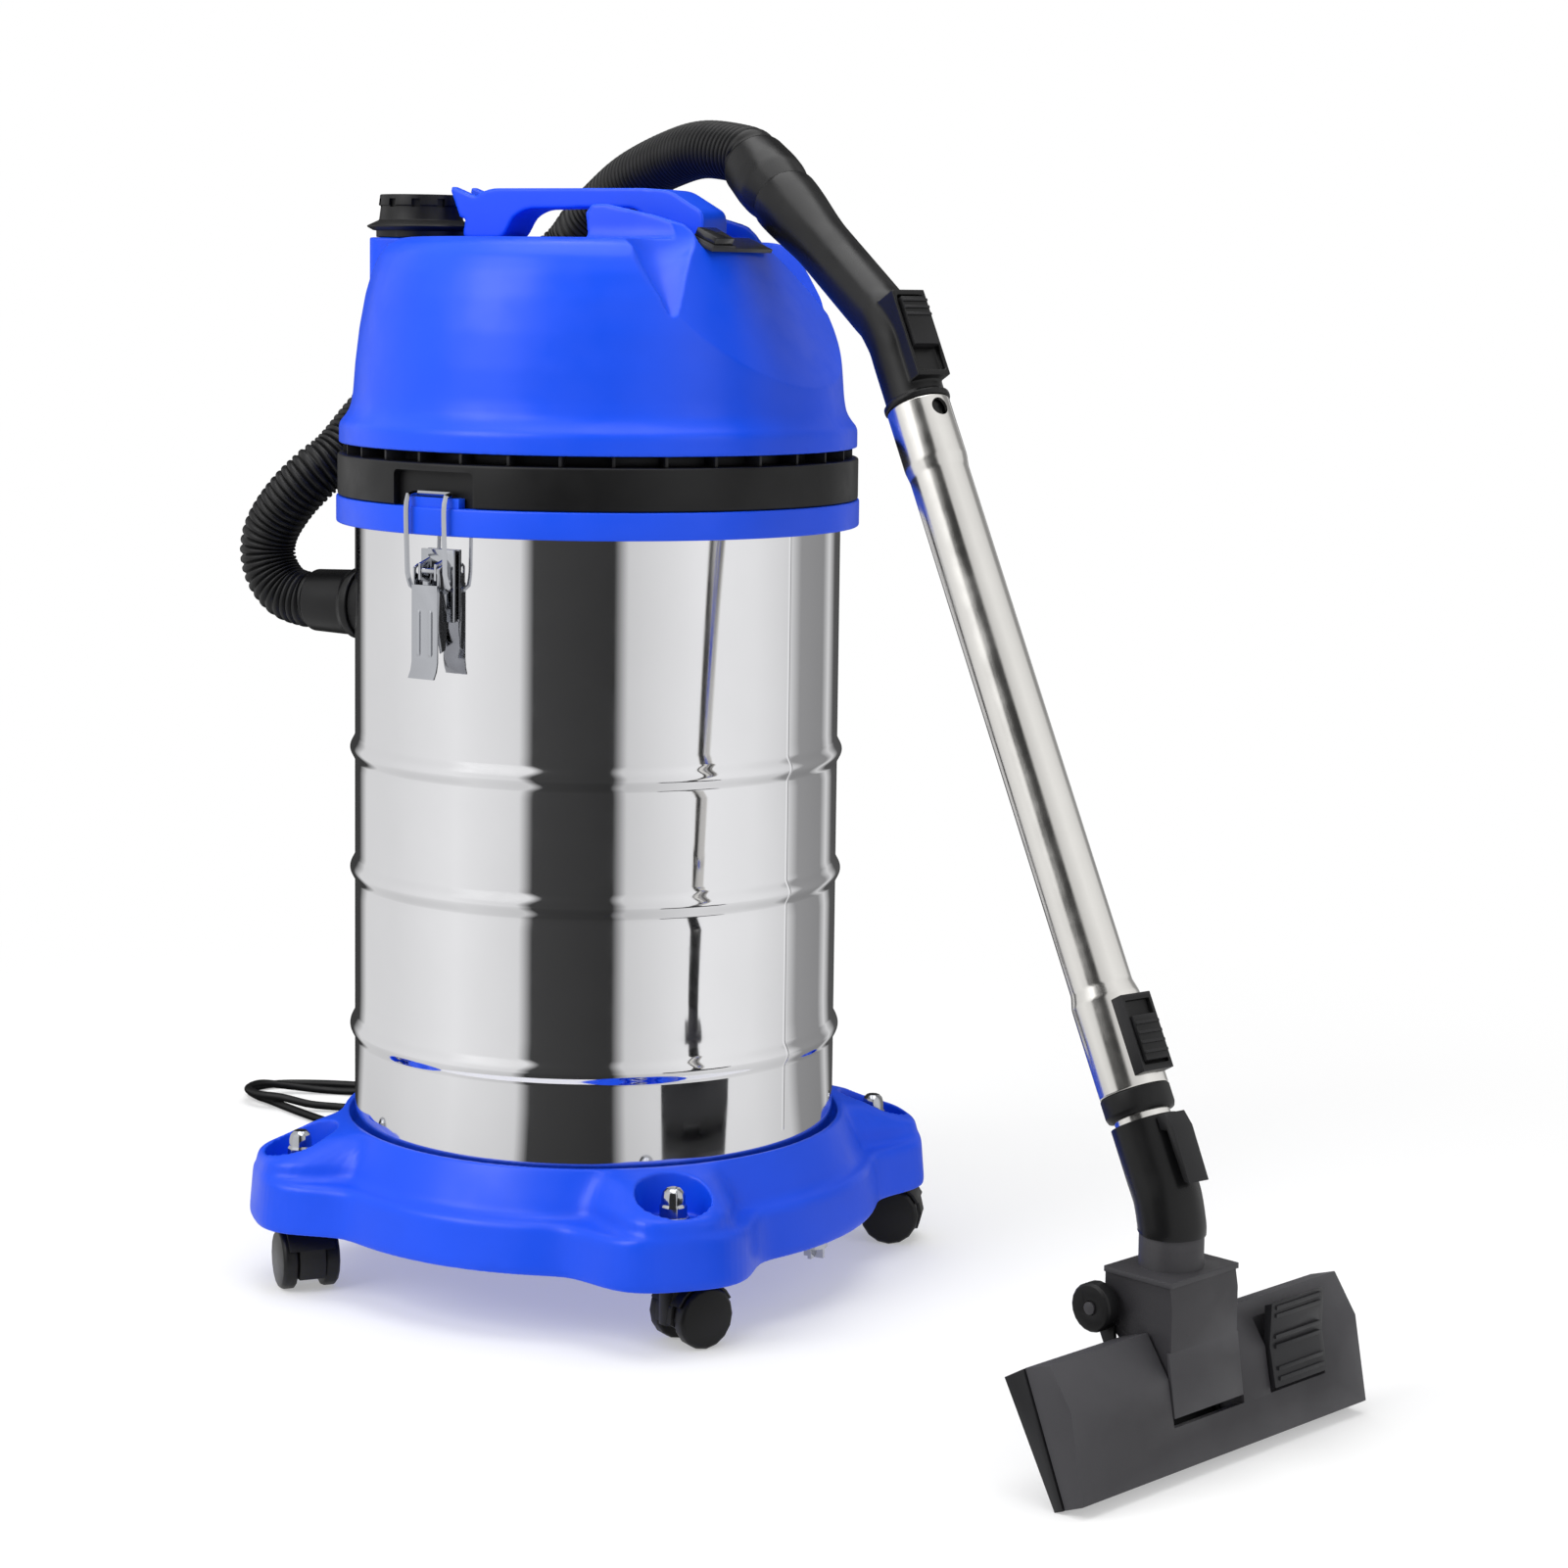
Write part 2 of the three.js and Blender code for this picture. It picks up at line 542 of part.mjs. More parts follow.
// The grip leaves the wand's line at a bend and lies over the head's front edge.
const gripWay = new THREE.Vector3(Math.sin(rad(GRIP.twist)) * Math.sin(rad(GRIP.angle)),
  Math.cos(rad(GRIP.twist)) * Math.sin(rad(GRIP.angle)), Math.cos(rad(GRIP.angle)));
const alongGrip = new THREE.Quaternion().setFromUnitVectors(new THREE.Vector3(0, 0, 1), gripWay);
const gripAt = (s) => [gripWay.x * s, gripWay.y * s, GRIP.bend + gripWay.z * s];

function wandHandle() {
  const { radius, top } = WAND;
  const start = top + GAP;
  const route = [[0, 0, start], [0, 0, start + 10], [0, 0, GRIP.bend - 24], [0, 0, GRIP.bend - 10],
    gripAt(10), gripAt(24), gripAt(70), gripAt(GRIP.length - 40), gripAt(GRIP.length)];
  const tube = swept(through(route, 0.4), radius, 16, 14);
  const bore = swept(through([[0, 0, top - 60], ...route.slice(2, -1), gripAt(GRIP.length + 12)], 0.4),
    radius - 5.5, 8, 14);
  const flare = rod(radius - 0.5, GRIP.flare, 28, radius + 4.2).applyQuaternion(alongGrip)
    .translate(...gripAt(GRIP.length - GRIP.flare));
  const collar = rod(radius + 2.4, 4, 20).translate(0, 0, start);
  const spigot = rod(radius - 2.8, 60, 16).translate(0, 0, start - 50);
  const seat = block(-13, 13, -radius - 5.5, -8, start + 11, start + 72);
  const well = block(-10.5, 10.5, -radius - 7, -radius - 1.5, start + 15, start + 68);
  return cut(join(tube, flare, collar, spigot, seat), bore, well);
}

function slider() {
  const { radius, top } = WAND;
  const low = top + 32;
  const plate = block(-10, 10, -radius - 8.2, -radius - 1.9, low, low + 34);
  const ridges = [0, 1, 2].map((k) => block(-10, 10, -radius - 9.4, -radius - 8, low + 20 + 5 * k,
      low + 22 + 5 * k));
  return join(plate, ...ridges);
}

// Outer tube: steel, swaged wider at both ends
function outerTube() {
  const { radius, low, top } = WAND;
  const profile = [[radius, low], [radius + 2, low], [radius + 2, low + 58], [radius, low + 66],
    [radius, top - 48], [radius + 1.2, top - 40], [radius + 1.2, top], [radius - 1.2, top],
    [radius - 1.2, low + 68]];
  const lockHole = rod(6, 12, 12).translate(0, 0, -6).rotateX(Math.PI / 2).translate(0, -radius, top - 9);
  return cut(lathe(profile, 24), lockHole);
}

function collarRing() {
  const { radius, low, inner } = WAND;
  return lathe([[inner + GAP, low - 15], [radius + 1, low - 15], [radius + 2.2, low - 12],
    [radius + 2.2, low - GAP], [inner + GAP, low - GAP]], 24);
}

function buttonHousing() {
  const { radius, low } = WAND;
  const shell = block(-12, 12, -radius - 8, -10, low + 6, low + 54);
  const hollow = cut(shell, rod(radius + 2 + GAP, 90, 48).translate(0, 0, low - 10));
  return cut(hollow, block(-9.6, 9.6, -radius - 12, -radius - 4.6, low + 10, low + 50));
}

function telescopeButton() {
  const { radius, low } = WAND;
  const body = block(-9.2, 9.2, -radius - 10.5, -radius - 5, low + 12, low + 40);
  const ridges = [0, 1, 2, 3].map((k) => block(-9.2, 9.2, -radius - 11.5, -radius - 10, low + 16 + 6 * k,
      low + 18 + 6 * k));
  return join(body, ...ridges);
}

function innerTube() {
  const { inner, top } = WAND;
  return lathe([[inner - 1.3, 40], [inner, 40], [inner, top - 66], [inner - 1.3, top - 66]], 24);
}

add('wand_handle', wandHandle(), BLACK, wand);
add('suction_slider', slider(), BLACK, wand);
add('outer_tube', outerTube(), STEEL, wand);
add('collar_ring', collarRing(), BLACK, wand);
add('button_housing', buttonHousing(), BLACK, wand);
add('telescope_button', telescopeButton(), BLACK, wand);
add('inner_tube', innerTube(), STEEL, wand);

// Swivel cuff between the grip and the hose
function handleCuff() {
  const { bore, outer } = HOSE;
  const end = GRIP.cuff;
  const body = lathe([[bore, 0], [outer + 0.5, 0], [outer + 4, 18], [outer + 4.3, 30], [outer + 3, end],
    [bore, end]], 28);
  return body.applyQuaternion(alongGrip).translate(...gripAt(GRIP.length + GAP));
}
add('hose_handle_cuff', handleCuff(), BLACK, wand);

// Hose: from the inlet cuff, up behind the head and over the deck to the wand's handle
function hose() {
  machine.updateMatrixWorld(true);
  const end = GRIP.length + GRIP.cuff + 2 * GAP;
  const [before, last] = [end + 12, end].map((s) => wand.localToWorld(new THREE.Vector3(...gripAt(s))).toArray());
  const z = HOSE.inletZ;
  const route = [[0, HOSE.cuffEnd + GAP, z], [0, 250, z], [0, 267.5, 466.7], [0, 280.3, 479.5],
    [0, 285, 497], [0, 280, 515], [2, 265, 536], [9, 249, 554], [22, 236, 569], [44, 223, 597],
    [75, 205, 633], [112, 180, 668], [143, 147, 699], [155, 121, 722], [152, 104, 739], [147, 85, 754],
    [132, 51, 773], [107, 4, 787], [80.5, -39, 792.6], before, last];
  return swept(through(route), HOSE.outer, 12, 40);
}
add('hose', hose(), RUBBER);

// Elbow: from the upright collar into the wand's line
function elbow() {
  const { inner } = WAND;
  const axis = new THREE.Vector3(0, Math.sin(rad(WAND.lean)), Math.cos(rad(WAND.lean)));
  const along = (s) => axis.clone().multiplyScalar(s).toArray();
  const route = [[0, 0, -12.7], [0, 0, -8], along(9), along(26), along(50), along(56)];
  const outside = swept(through(route, 0.4), NOZZLE.collar + 1, 16, 8);
  const bore = swept(through([[0, 0, -20], ...route.slice(1, -1), along(70)], 0.4), inner + 3 * GAP, 14, 8);
  const skirt = block(-40, 40, -40, 40, -60, -12.7);
  return cut(outside, bore, skirt);
}
add('elbow', elbow(), BLACK, upright);

// Parking clip: a tongue that hangs from the elbow's mouth
function parkingClip() {
  const face = NOZZLE.collar + 1 + GAP;
  const outline = [[-face, 54], [-face, 46], [-face - 5, 44], [-face - 6, 12], [-face - 10, 10],
    [-face - 11, 44], [-face - 8, 54]];
  return profileAlongX(outline, -8, 8);
}
add('parking_clip', parkingClip(), BLACK, wand);

// Floor nozzle: stands on its front edge, in a frame under the collar
const nozzle = frame(machine, WAND.foot[0], WAND.foot[1], 0, NOZZLE.azimuth);
const SOLE = { frontY: -17, rearY: 23, rearZ: 70.4 };
const soleLength = Math.hypot(SOLE.rearY - SOLE.frontY, SOLE.rearZ);
const soleUp = [(SOLE.rearY - SOLE.frontY) / soleLength, SOLE.rearZ / soleLength];

// A point at a distance along the sole from its front edge, and a depth in from its face
const solePoint = (along, depth) => [
  SOLE.frontY + along * soleUp[0] - depth * soleUp[1], along * soleUp[1] + depth * soleUp[0]];

function nozzleSole() {
  const { left, right, bay, axleY, axleZ } = NOZZLE;
  const body = profileAlongX([solePoint(0, 0), [-23.2, 2.4], [9, 78.6], solePoint(soleLength, 0)], left,
    right);
  const lug = [[14, 75], [21, 69.5], [32, 92], [28, 101.5], [20, 101.5], [16, 94]];
  const lugs = [-1, 1].map((s) => profileAlongX(lug, -1.3, 1.3).translate(s * (bay - 0.1), 0, 0));
  const bore = rod(4.4, 100, 12).translate(0, 0, -50).rotateY(Math.PI / 2).translate(0, axleY, axleZ);
  const middle = profileAlongX([solePoint(4, 4), solePoint(90, 4), solePoint(90, 30), solePoint(4, 30)],
    -bay, bay);
  const mouth = profileAlongX([solePoint(30, -2), solePoint(48, -2), solePoint(48, 6), solePoint(30,
    6)], left + 20, right - 20);
  const slot = profileAlongX([solePoint(12, -2), solePoint(17, -2), solePoint(17, 5.2), solePoint(12,
    5.2)], left + 20, right - 20);
  const duct = profileAlongX([solePoint(31, 1), solePoint(47, 1), solePoint(47, 30), solePoint(31, 30)],
    3 - bay, bay - 3);
  return cut(join(cut(body, middle), ...lugs), bore, mouth, slot, duct);
}

function nozzleCover() {
  const { left, right, bay } = NOZZLE;
  const body = profileAlongX([[-23.9, 2.7], [-37, 8], [-27, 61], [-10.3, 85.3], [8.3, 79.2]], left + 1,
    right - 1);
  const opening = profileAlongX([[-45, 37.4], [-24, 30], [-21, 24], [-11, 24], [30, 100],
    [-45, 100]], -bay, bay);
  const pedalWell = profileAlongX([[-45, 35], [-25.5, 32], [-16, 62], [-17, 95], [-45, 95]], 60, 115);
  const hollow = [[-22, 9], [-33.5, 11.5], [-24, 59], [-10.5, 80.5], [4, 77], [20, 76]];
  const rooms = [[left + 4, -bay - 3], [bay + 3, 57],
    [118, right - 4]].map(([a, b]) => profileAlongX(hollow, a, b));
  return cut(body, opening, pedalWell, ...rooms);
}

function hood() {
  const { hood: half, bay, plate, collar, axleY, axleZ } = NOZZLE;
  const outline = [[24.5, plate - 3], [24.5, 105], [31, 102], [33, 95], [30, 88], [20, 84],
    [13.1, 76.5], [-26.8, 40], [-31.6, 40], [-28.4, 61], [-26.5, 76], [-26.5, 104], [-24.5, plate - 3]];
  const inside = [[16, 90], [-24, 92], [-24, 76], [-25.9, 61], [-29.6, 36], [-10, 36], [30, 70]];
  const apron = [[-31.9, 38], [-28.4, 61], [-26.5, 76], [-24.5, 76], [-26.2, 61], [-29.7, 38]];
  const shell = join(cut(profileAlongX(outline, -half, half), profileAlongX(inside, 2.2 - half,
    half - 2.2)), profileAlongX(apron, 2 * GAP - bay, bay - 2 * GAP));
  const top = extrude(roundedRect(-half - 1.5, half + 1.5, -26.5, 25.5, 2), 3).translate(0, 0, plate - 3);
  const neck = rod(collar, 18.9, 20).translate(0, 0, plate);
  const axle = rod(4, 94, 12).translate(0, 0, -47).rotateY(Math.PI / 2).translate(0, axleY, axleZ);
  return cut(join(shell, top, neck, axle), rod(collar - 3.5, 60, 16).translate(0, 0, 80));
}

function pedal() {
  const plate = profileAlongX([[-34.9, 36.2], [-31.2, 35.8], [-24.8, 60], [-25, 85.5], [-30.2, 87.5],
    [-29.5, 61]], 61, 114);
  const ridges = [40, 46, 59, 65, 78, 83].map((z) => {
    const y = -30 - Math.max(0, 61 - z) * 0.2;
    return block(65, 110, y - 1.2, y + 2, z, z + 2.4);
  });
  return join(plate, ...ridges);
}

function brush() {
  return profileAlongX([solePoint(12.5, 0.4), solePoint(16.5, 0.4), solePoint(16.5, 4.9),
    solePoint(12.5, 4.9)], NOZZLE.left + 21, NOZZLE.right - 21);
}

function roller(side) {
  const { axleY, axleZ } = NOZZLE;
  const wheel = lathe([[4.3, 0], [14, 0], [15, 1.2], [15, 9.4], [13.6, 10.8], [4.3, 10.8]], 20);
  return wheel.rotateY(side * Math.PI / 2).translate(side * 35.2, axleY, axleZ);
}

add('nozzle_sole', nozzleSole(), BLACK, nozzle);
add('nozzle_cover', nozzleCover(), CHARCOAL, nozzle);
add('nozzle_hood', hood(), CHARCOAL, nozzle);
add('nozzle_pedal', pedal(), BLACK, nozzle);
add('brush_strip', brush(), BLACK, nozzle);
add('roller_1', roller(-1), BLACK, nozzle);
add('roller_2', roller(1), BLACK, nozzle);

// Mains lead: gland on the motor base, free run to the floor, then a stored coil and the plug
function gland() {
  const inside = CORD.radius + GAP;
  return lathe([[inside, 182.4], [11, 182.4], [11, 187], [8, 187], [7.5, 190], [5, 205], [inside, 205]], 16)
    .rotateX(Math.PI / 2);
}
add('cord_gland', gland(), RUBBER, frame(machine, 0, 0, CORD.exitZ, CORD.gland));

const floorZ = CORD.radius + 0.6;
const coilOuter = CORD.turn + CORD.pitch;
const sight = new THREE.Vector2(0.887, 0.461);

// A floor point named by its sideways and rearward distances as the stored lead lies
const laid = (side, back, z = floorZ) => [
  sight.y * side + sight.x * back, sight.y * back - sight.x * side, z];

function mainsCord() {
  const out = (r) => [r * Math.sin(rad(CORD.gland)), -r * Math.cos(rad(CORD.gland))];
  const route = [[...out(183), CORD.exitZ], [...out(206), CORD.exitZ], [...out(222), 556],
    [...out(232), 536], [...out(234), 480], [...out(230), 300], [...out(226), 100], [215.5, 72, 36],
    [216.5, 81, 15], [218, 98, 5.6], [219.5, 120, floorZ], laid(-25, 262), laid(-66, 308), laid(-112,
    378), laid(-162, 450), laid(-198, 482), laid(-236, 496), laid(-280, 500), laid(-308, 494),
    laid(-322, 474), laid(-312, 452), laid(-300, 438), laid(-269, 399), laid(-239, 366), laid(-214,
    352), laid(-192, 364), laid(-190, 390), laid(-206, 408), laid(-234, 416, 4), laid(-262, 417, 6),
    laid(-287, 422, 10.4), laid(-309, 432, 10.6), laid(-320, 450, 10.8), laid(-312, 470, 10.6),
    laid(-292, 478, 7), laid(-262, 478, floorZ), laid(-233, 473, floorZ), laid(-190, 458, 9), laid(-156,
    444, 10.6), laid(-118, 430, 8), laid(-70, 414), laid(-30, 407), laid(0, 360 + coilOuter)];
  return swept(through(route), CORD.radius, 8, 76);
}

function cordCoil() {
  const { turn, pitch, across, high } = CORD;
  const half = (across * pitch) / 2;
  const ring = [[turn - half, 0.1], [turn + half, 0.1], [turn + half, high * pitch],
    [turn - half, high * pitch]];
  return lathe(ring, 32).translate(CORD.coilX, CORD.coilY, 0);
}

function plug() {
  const body = lathe([[CORD.radius + GAP, 0], [6.5, 0], [8, 22], [14, 30], [18.5, 38], [18.5, 48],
    [0, 48], [0, 3], [CORD.radius + GAP, 3]], 16);
  const pins = [-9.5, 9.5].map((x) => rod(2.4, 21, 8).translate(x, 0, 46));
  return join(body, ...pins);
}
add('mains_cord', mainsCord(), RUBBER);
add('cord_coil', cordCoil(), RUBBER);

const [tailX, tailY] = laid(30 + 52, 360 + coilOuter);
const plugGroup = frame(machine, tailX, tailY, 18.7);
plugGroup.rotation.set(Math.PI / 2, 0, Math.atan2(-sight.x, sight.y) + Math.PI / 2, 'ZXY');
add('mains_plug', plug(), BLACK, plugGroup);

function cordTail() {
  const side = 30 + Math.sqrt((CORD.turn + 1.5 * CORD.pitch + CORD.radius) ** 2 - coilOuter ** 2) + 2;
  const at = 360 + coilOuter;
  const z = (CORD.high - 0.5) * CORD.pitch;
  return swept(through([laid(side, at, z), laid(side + 6, at, z - 0.6), laid(30 + 48, at, 18.8),
    laid(30 + 54.5, at, 18.7)]), CORD.radius, 8, 6);
}
add('cord_tail', cordTail(), RUBBER);

export default machine;
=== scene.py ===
import math

import bmesh
import bpy
import numpy as np
from mathutils import Matrix, Vector

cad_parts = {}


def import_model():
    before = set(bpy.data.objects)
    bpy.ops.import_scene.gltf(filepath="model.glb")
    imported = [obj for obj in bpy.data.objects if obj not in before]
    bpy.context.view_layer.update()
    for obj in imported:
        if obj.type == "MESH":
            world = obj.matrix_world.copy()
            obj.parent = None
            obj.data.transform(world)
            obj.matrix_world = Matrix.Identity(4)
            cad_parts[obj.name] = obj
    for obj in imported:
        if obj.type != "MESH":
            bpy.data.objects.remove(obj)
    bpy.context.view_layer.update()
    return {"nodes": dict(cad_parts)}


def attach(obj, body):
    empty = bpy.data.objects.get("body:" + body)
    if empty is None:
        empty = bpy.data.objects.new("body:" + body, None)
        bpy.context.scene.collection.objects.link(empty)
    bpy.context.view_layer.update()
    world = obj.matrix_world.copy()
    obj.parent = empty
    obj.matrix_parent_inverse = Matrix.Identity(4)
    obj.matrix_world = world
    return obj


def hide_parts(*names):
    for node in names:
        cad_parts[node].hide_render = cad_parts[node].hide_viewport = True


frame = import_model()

# Wet and dry vacuum cleaner. Shapes are written in millimetres in the row frame and scaled to metres
# when a piece is made. Azimuths are degrees from the front (-Y), counted towards +X.
MM = 0.001
rad = math.radians

# Camera: the photograph's viewing angle
CAMERA_AT = (-2.0461, -1.2122, 0.7004)
CAMERA_WAY = Vector((0.8872, 0.4614, 0.0))
CAMERA_PITCH, CAMERA_ROLL = rad(-6.0), rad(0.75)
CAMERA_LENS, CAMERA_SENSOR, CAMERA_SHIFT = 77.7, 36.0, -0.094


def make_camera():
    data = bpy.data.cameras.new("photo_camera")
    data.lens, data.sensor_width, data.shift_y = CAMERA_LENS, CAMERA_SENSOR, CAMERA_SHIFT
    data.clip_start, data.clip_end = 0.05, 60.0
    camera = bpy.data.objects.new("photo_camera", data)
    bpy.context.scene.collection.objects.link(camera)
    look = (CAMERA_WAY * math.cos(CAMERA_PITCH) + Vector((0, 0, math.sin(CAMERA_PITCH)))).normalized()
    right = look.cross(Vector((0, 0, 1))).normalized()
    up = right.cross(look)
    tilt = Matrix.Rotation(-CAMERA_ROLL, 3, look)
    right, up = tilt @ right, tilt @ up
    turn = Matrix((right, up, -look)).transposed()
    camera.matrix_world = Matrix.Translation(CAMERA_AT) @ turn.to_4x4()
    bpy.context.scene.camera = camera


make_camera()


# ---- Shapes: a shape is (points as an N x 3 array, faces as tuples) ----
def catmull(points, tension, steps):
    """Even steps along a Catmull-Rom curve through the points."""
    p = np.array(points, float)
    p = np.vstack([2 * p[0] - p[1], p, 2 * p[-1] - p[-2]])
    fine = []
    for k in range(1, len(p) - 2):
        a, b = tension * (p[k + 1] - p[k - 1]), tension * (p[k + 2] - p[k])
        t = np.linspace(0, 1, 24, endpoint=False)[:, None]
        fine.append((2 * t**3 - 3 * t**2 + 1) * p[k] + (t**3 - 2 * t**2 + t) * a
                    + (-2 * t**3 + 3 * t**2) * p[k + 1] + (t**3 - t**2) * b)
    fine = np.vstack([*fine, p[-2]])
    run = np.concatenate([[0], np.cumsum(np.linalg.norm(np.diff(fine, axis=0), axis=1))])
    at = np.linspace(0, run[-1], steps + 1)
    return np.stack([np.interp(at, run, fine[:, i]) for i in range(3)], 1)


def fillet(points, r, n=4, closed=False):
    """Rounds each corner of a line of points, over at most r either side of it."""
    p = [np.array(q, float) for q in points]
    out = [] if closed else [p[0]]
    for k in range(0 if closed else 1, len(p) if closed else len(p) - 1):
        a, b, c = p[k - 1], p[k], p[(k + 1) % len(p)]
        la, lc = np.linalg.norm(a - b), np.linalg.norm(c - b)
        s, e = b + (a - b) / la * min(r, 0.45 * la), b + (c - b) / lc * min(r, 0.45 * lc)
        for i in range(n + 1):
            t = i / n
            out.append((1 - t) ** 2 * s + 2 * t * (1 - t) * b + t * t * e)
    if not closed:
        out.append(p[-1])
    return [tuple(q) for q in out]


def lathe(profile, segments=128):
    pts, rows, faces = [], [], []
    turn = [2 * math.pi * i / segments for i in range(segments)]
    for r, z in profile:
        if r < 1e-6:
            rows.append([len(pts)] * segments)
            pts.append((0, 0, z))
        else:
            rows.append(list(range(len(pts), len(pts) + segments)))
            pts += [(r * math.cos(a), r * math.sin(a), z) for a in turn]
    if profile[0][0] > 1e-6:
        rows.append(rows[0])
    for one, two in zip(rows, rows[1:]):
        for i in range(segments):
            j = (i + 1) % segments
            face = []
            for v in (one[i], one[j], two[j], two[i]):
                if v not in face:
                    face.append(v)
            if len(face) > 2:
                faces.append(tuple(face))
    return np.array(pts, float), faces


def loft(rings):
    """Rings of equal length joined one to the next, with a cap at each end."""
    count = len(rings[0])
    pts = np.vstack([np.array(r, float) for r in rings])
    faces = []
    for k in range(len(rings) - 1):
        for i in range(count):
            a, b = k * count + i, k * count + (i + 1) % count
            faces.append((a, b, b + count, a + count))
    faces.append(tuple(range(count - 1, -1, -1)))
    last = (len(rings) - 1) * count
    faces.append(tuple(range(last, last + count)))
    return pts, faces


def rod(radius, length, segments=64):
    return lathe([(0, 0), (radius, 0), (radius, length), (0, length)], segments)


def prism(outline, z0, z1):
    return loft([[(x, y, z) for x, y in outline] for z in (z0, z1)])


def along_x(outline, x0, x1):
    """A side outline of (y, z) points drawn out along X."""
    return loft([[(x, y, z) for y, z in outline] for x in (x0, x1)])


def block(x0, x1, y0, y1, z0, z1):
    return prism([(x0, y0), (x1, y0), (x1, y1), (x0, y1)], z0, z1)


def rounded_rect(x0, x1, y0, y1, r, n=10):
    return fillet([(x0, y0), (x1, y0), (x1, y1), (x0, y1)], r, n, closed=True)


def sweep(centres, radii, sides=40):
    """Rings along a line of centres, with no twist between them."""
    c = np.array(centres, float)
    way = np.gradient(c, axis=0)
    way /= np.linalg.norm(way, axis=1)[:, None]
    n = np.cross(way[0], (0.31, 0.42, 0.85))
    n /= np.linalg.norm(n)
    rings = []
    for k in range(len(c)):
        n = n - way[k] * (n @ way[k])
        n /= np.linalg.norm(n)
        b = np.cross(way[k], n)
        r = radii if np.isscalar(radii) else radii[k]
        a = np.linspace(0, 2 * math.pi, sides, endpoint=False)[:, None]
        rings.append(c[k] + r * (np.cos(a) * n + np.sin(a) * b))
    return loft(rings)


def moved(shape, *matrices):
    """The shape after each matrix in turn, the last one named first applied."""
    m = Matrix.Identity(4)
    for x in matrices:
        m = m @ x
    a = np.array(m, float)
    return shape[0] @ a[:3, :3].T + a[:3, 3], shape[1]


def moved_mesh(mesh, matrix):
    made = mesh.copy()
    made.transform(matrix)
    return made


def at(x=0.0, y=0.0, z=0.0):
    return Matrix.Translation((x, y, z))


def turn(degrees, axis="Z"):
    return Matrix.Rotation(rad(degrees), 4, axis)


def to_mesh(shape, name="shape"):
    mesh = bpy.data.meshes.new(name)
    mesh.from_pydata([tuple(p) for p in shape[0]], [], shape[1])
    mesh.update()
    bm = bmesh.new()
    bm.from_mesh(mesh)
    bmesh.ops.recalc_face_normals(bm, faces=bm.faces)
    bm.to_mesh(mesh)
    bm.free()
    return mesh


def temporary(mesh):
    ob = bpy.data.objects.new("working", mesh)
    bpy.context.scene.collection.objects.link(ob)
    return ob


def evaluated(ob):
    made = bpy.data.meshes.new_from_object(ob.evaluated_get(bpy.context.evaluated_depsgraph_get()))
    bpy.data.objects.remove(ob)
    return made


def boolean(kind, base, tools):
    ob = temporary(base if isinstance(base, bpy.types.Mesh) else to_mesh(base))
    others = []
    for tool in tools:
        other = temporary(tool if isinstance(tool, bpy.types.Mesh) else to_mesh(tool))
        others.append(other)
        m = ob.modifiers.new("part", "BOOLEAN")
        m.operation, m.solver, m.object = kind, "MANIFOLD", other
    made = evaluated(ob)
    for other in others:
        bpy.data.objects.remove(other)
    return made


def join(base, *tools):
    return boolean("UNION", base, tools)


def cut(base, *tools):
    return boolean("DIFFERENCE", base, tools)


def common(base, *tools):
    return boolean("INTERSECT", base, tools)


def soften(mesh, voxel, rounds):
    """Moulded edges: the mesh made again in small even faces, and smoothed."""
    ob = temporary(mesh if isinstance(mesh, bpy.types.Mesh) else to_mesh(mesh))
    m = ob.modifiers.new("even", "REMESH")
    m.mode, m.voxel_size = "VOXEL", voxel
    s = ob.modifiers.new("soft", "SMOOTH")
    s.factor, s.iterations = 0.5, rounds
    return evaluated(ob)


def piece(name, shape, body, material, replaces=(), sharp=35):
    """A finished piece in millimetres, made an object that rides a body and hides the CAD nodes it
    replaces.
    """
    mesh = shape if isinstance(shape, bpy.types.Mesh) else to_mesh(shape, name)
    mesh.name = name
    mesh.transform(Matrix.Scale(MM, 4))
    mesh.materials.clear()
    mesh.materials.append(material)
    mesh.shade_smooth()
    mesh.set_sharp_from_angle(angle=rad(sharp))
    ob = bpy.data.objects.new(name, mesh)
    bpy.context.scene.collection.objects.link(ob)
    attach(ob, body)
    if replaces:
        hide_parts(*replaces)
    return ob


# ---- Materials ----
def linear(rgb):
    return [c / 12.92 if c <= 0.04045 else ((c + 0.055) / 1.055) ** 2.4 for c in (x / 255 for x in rgb)]


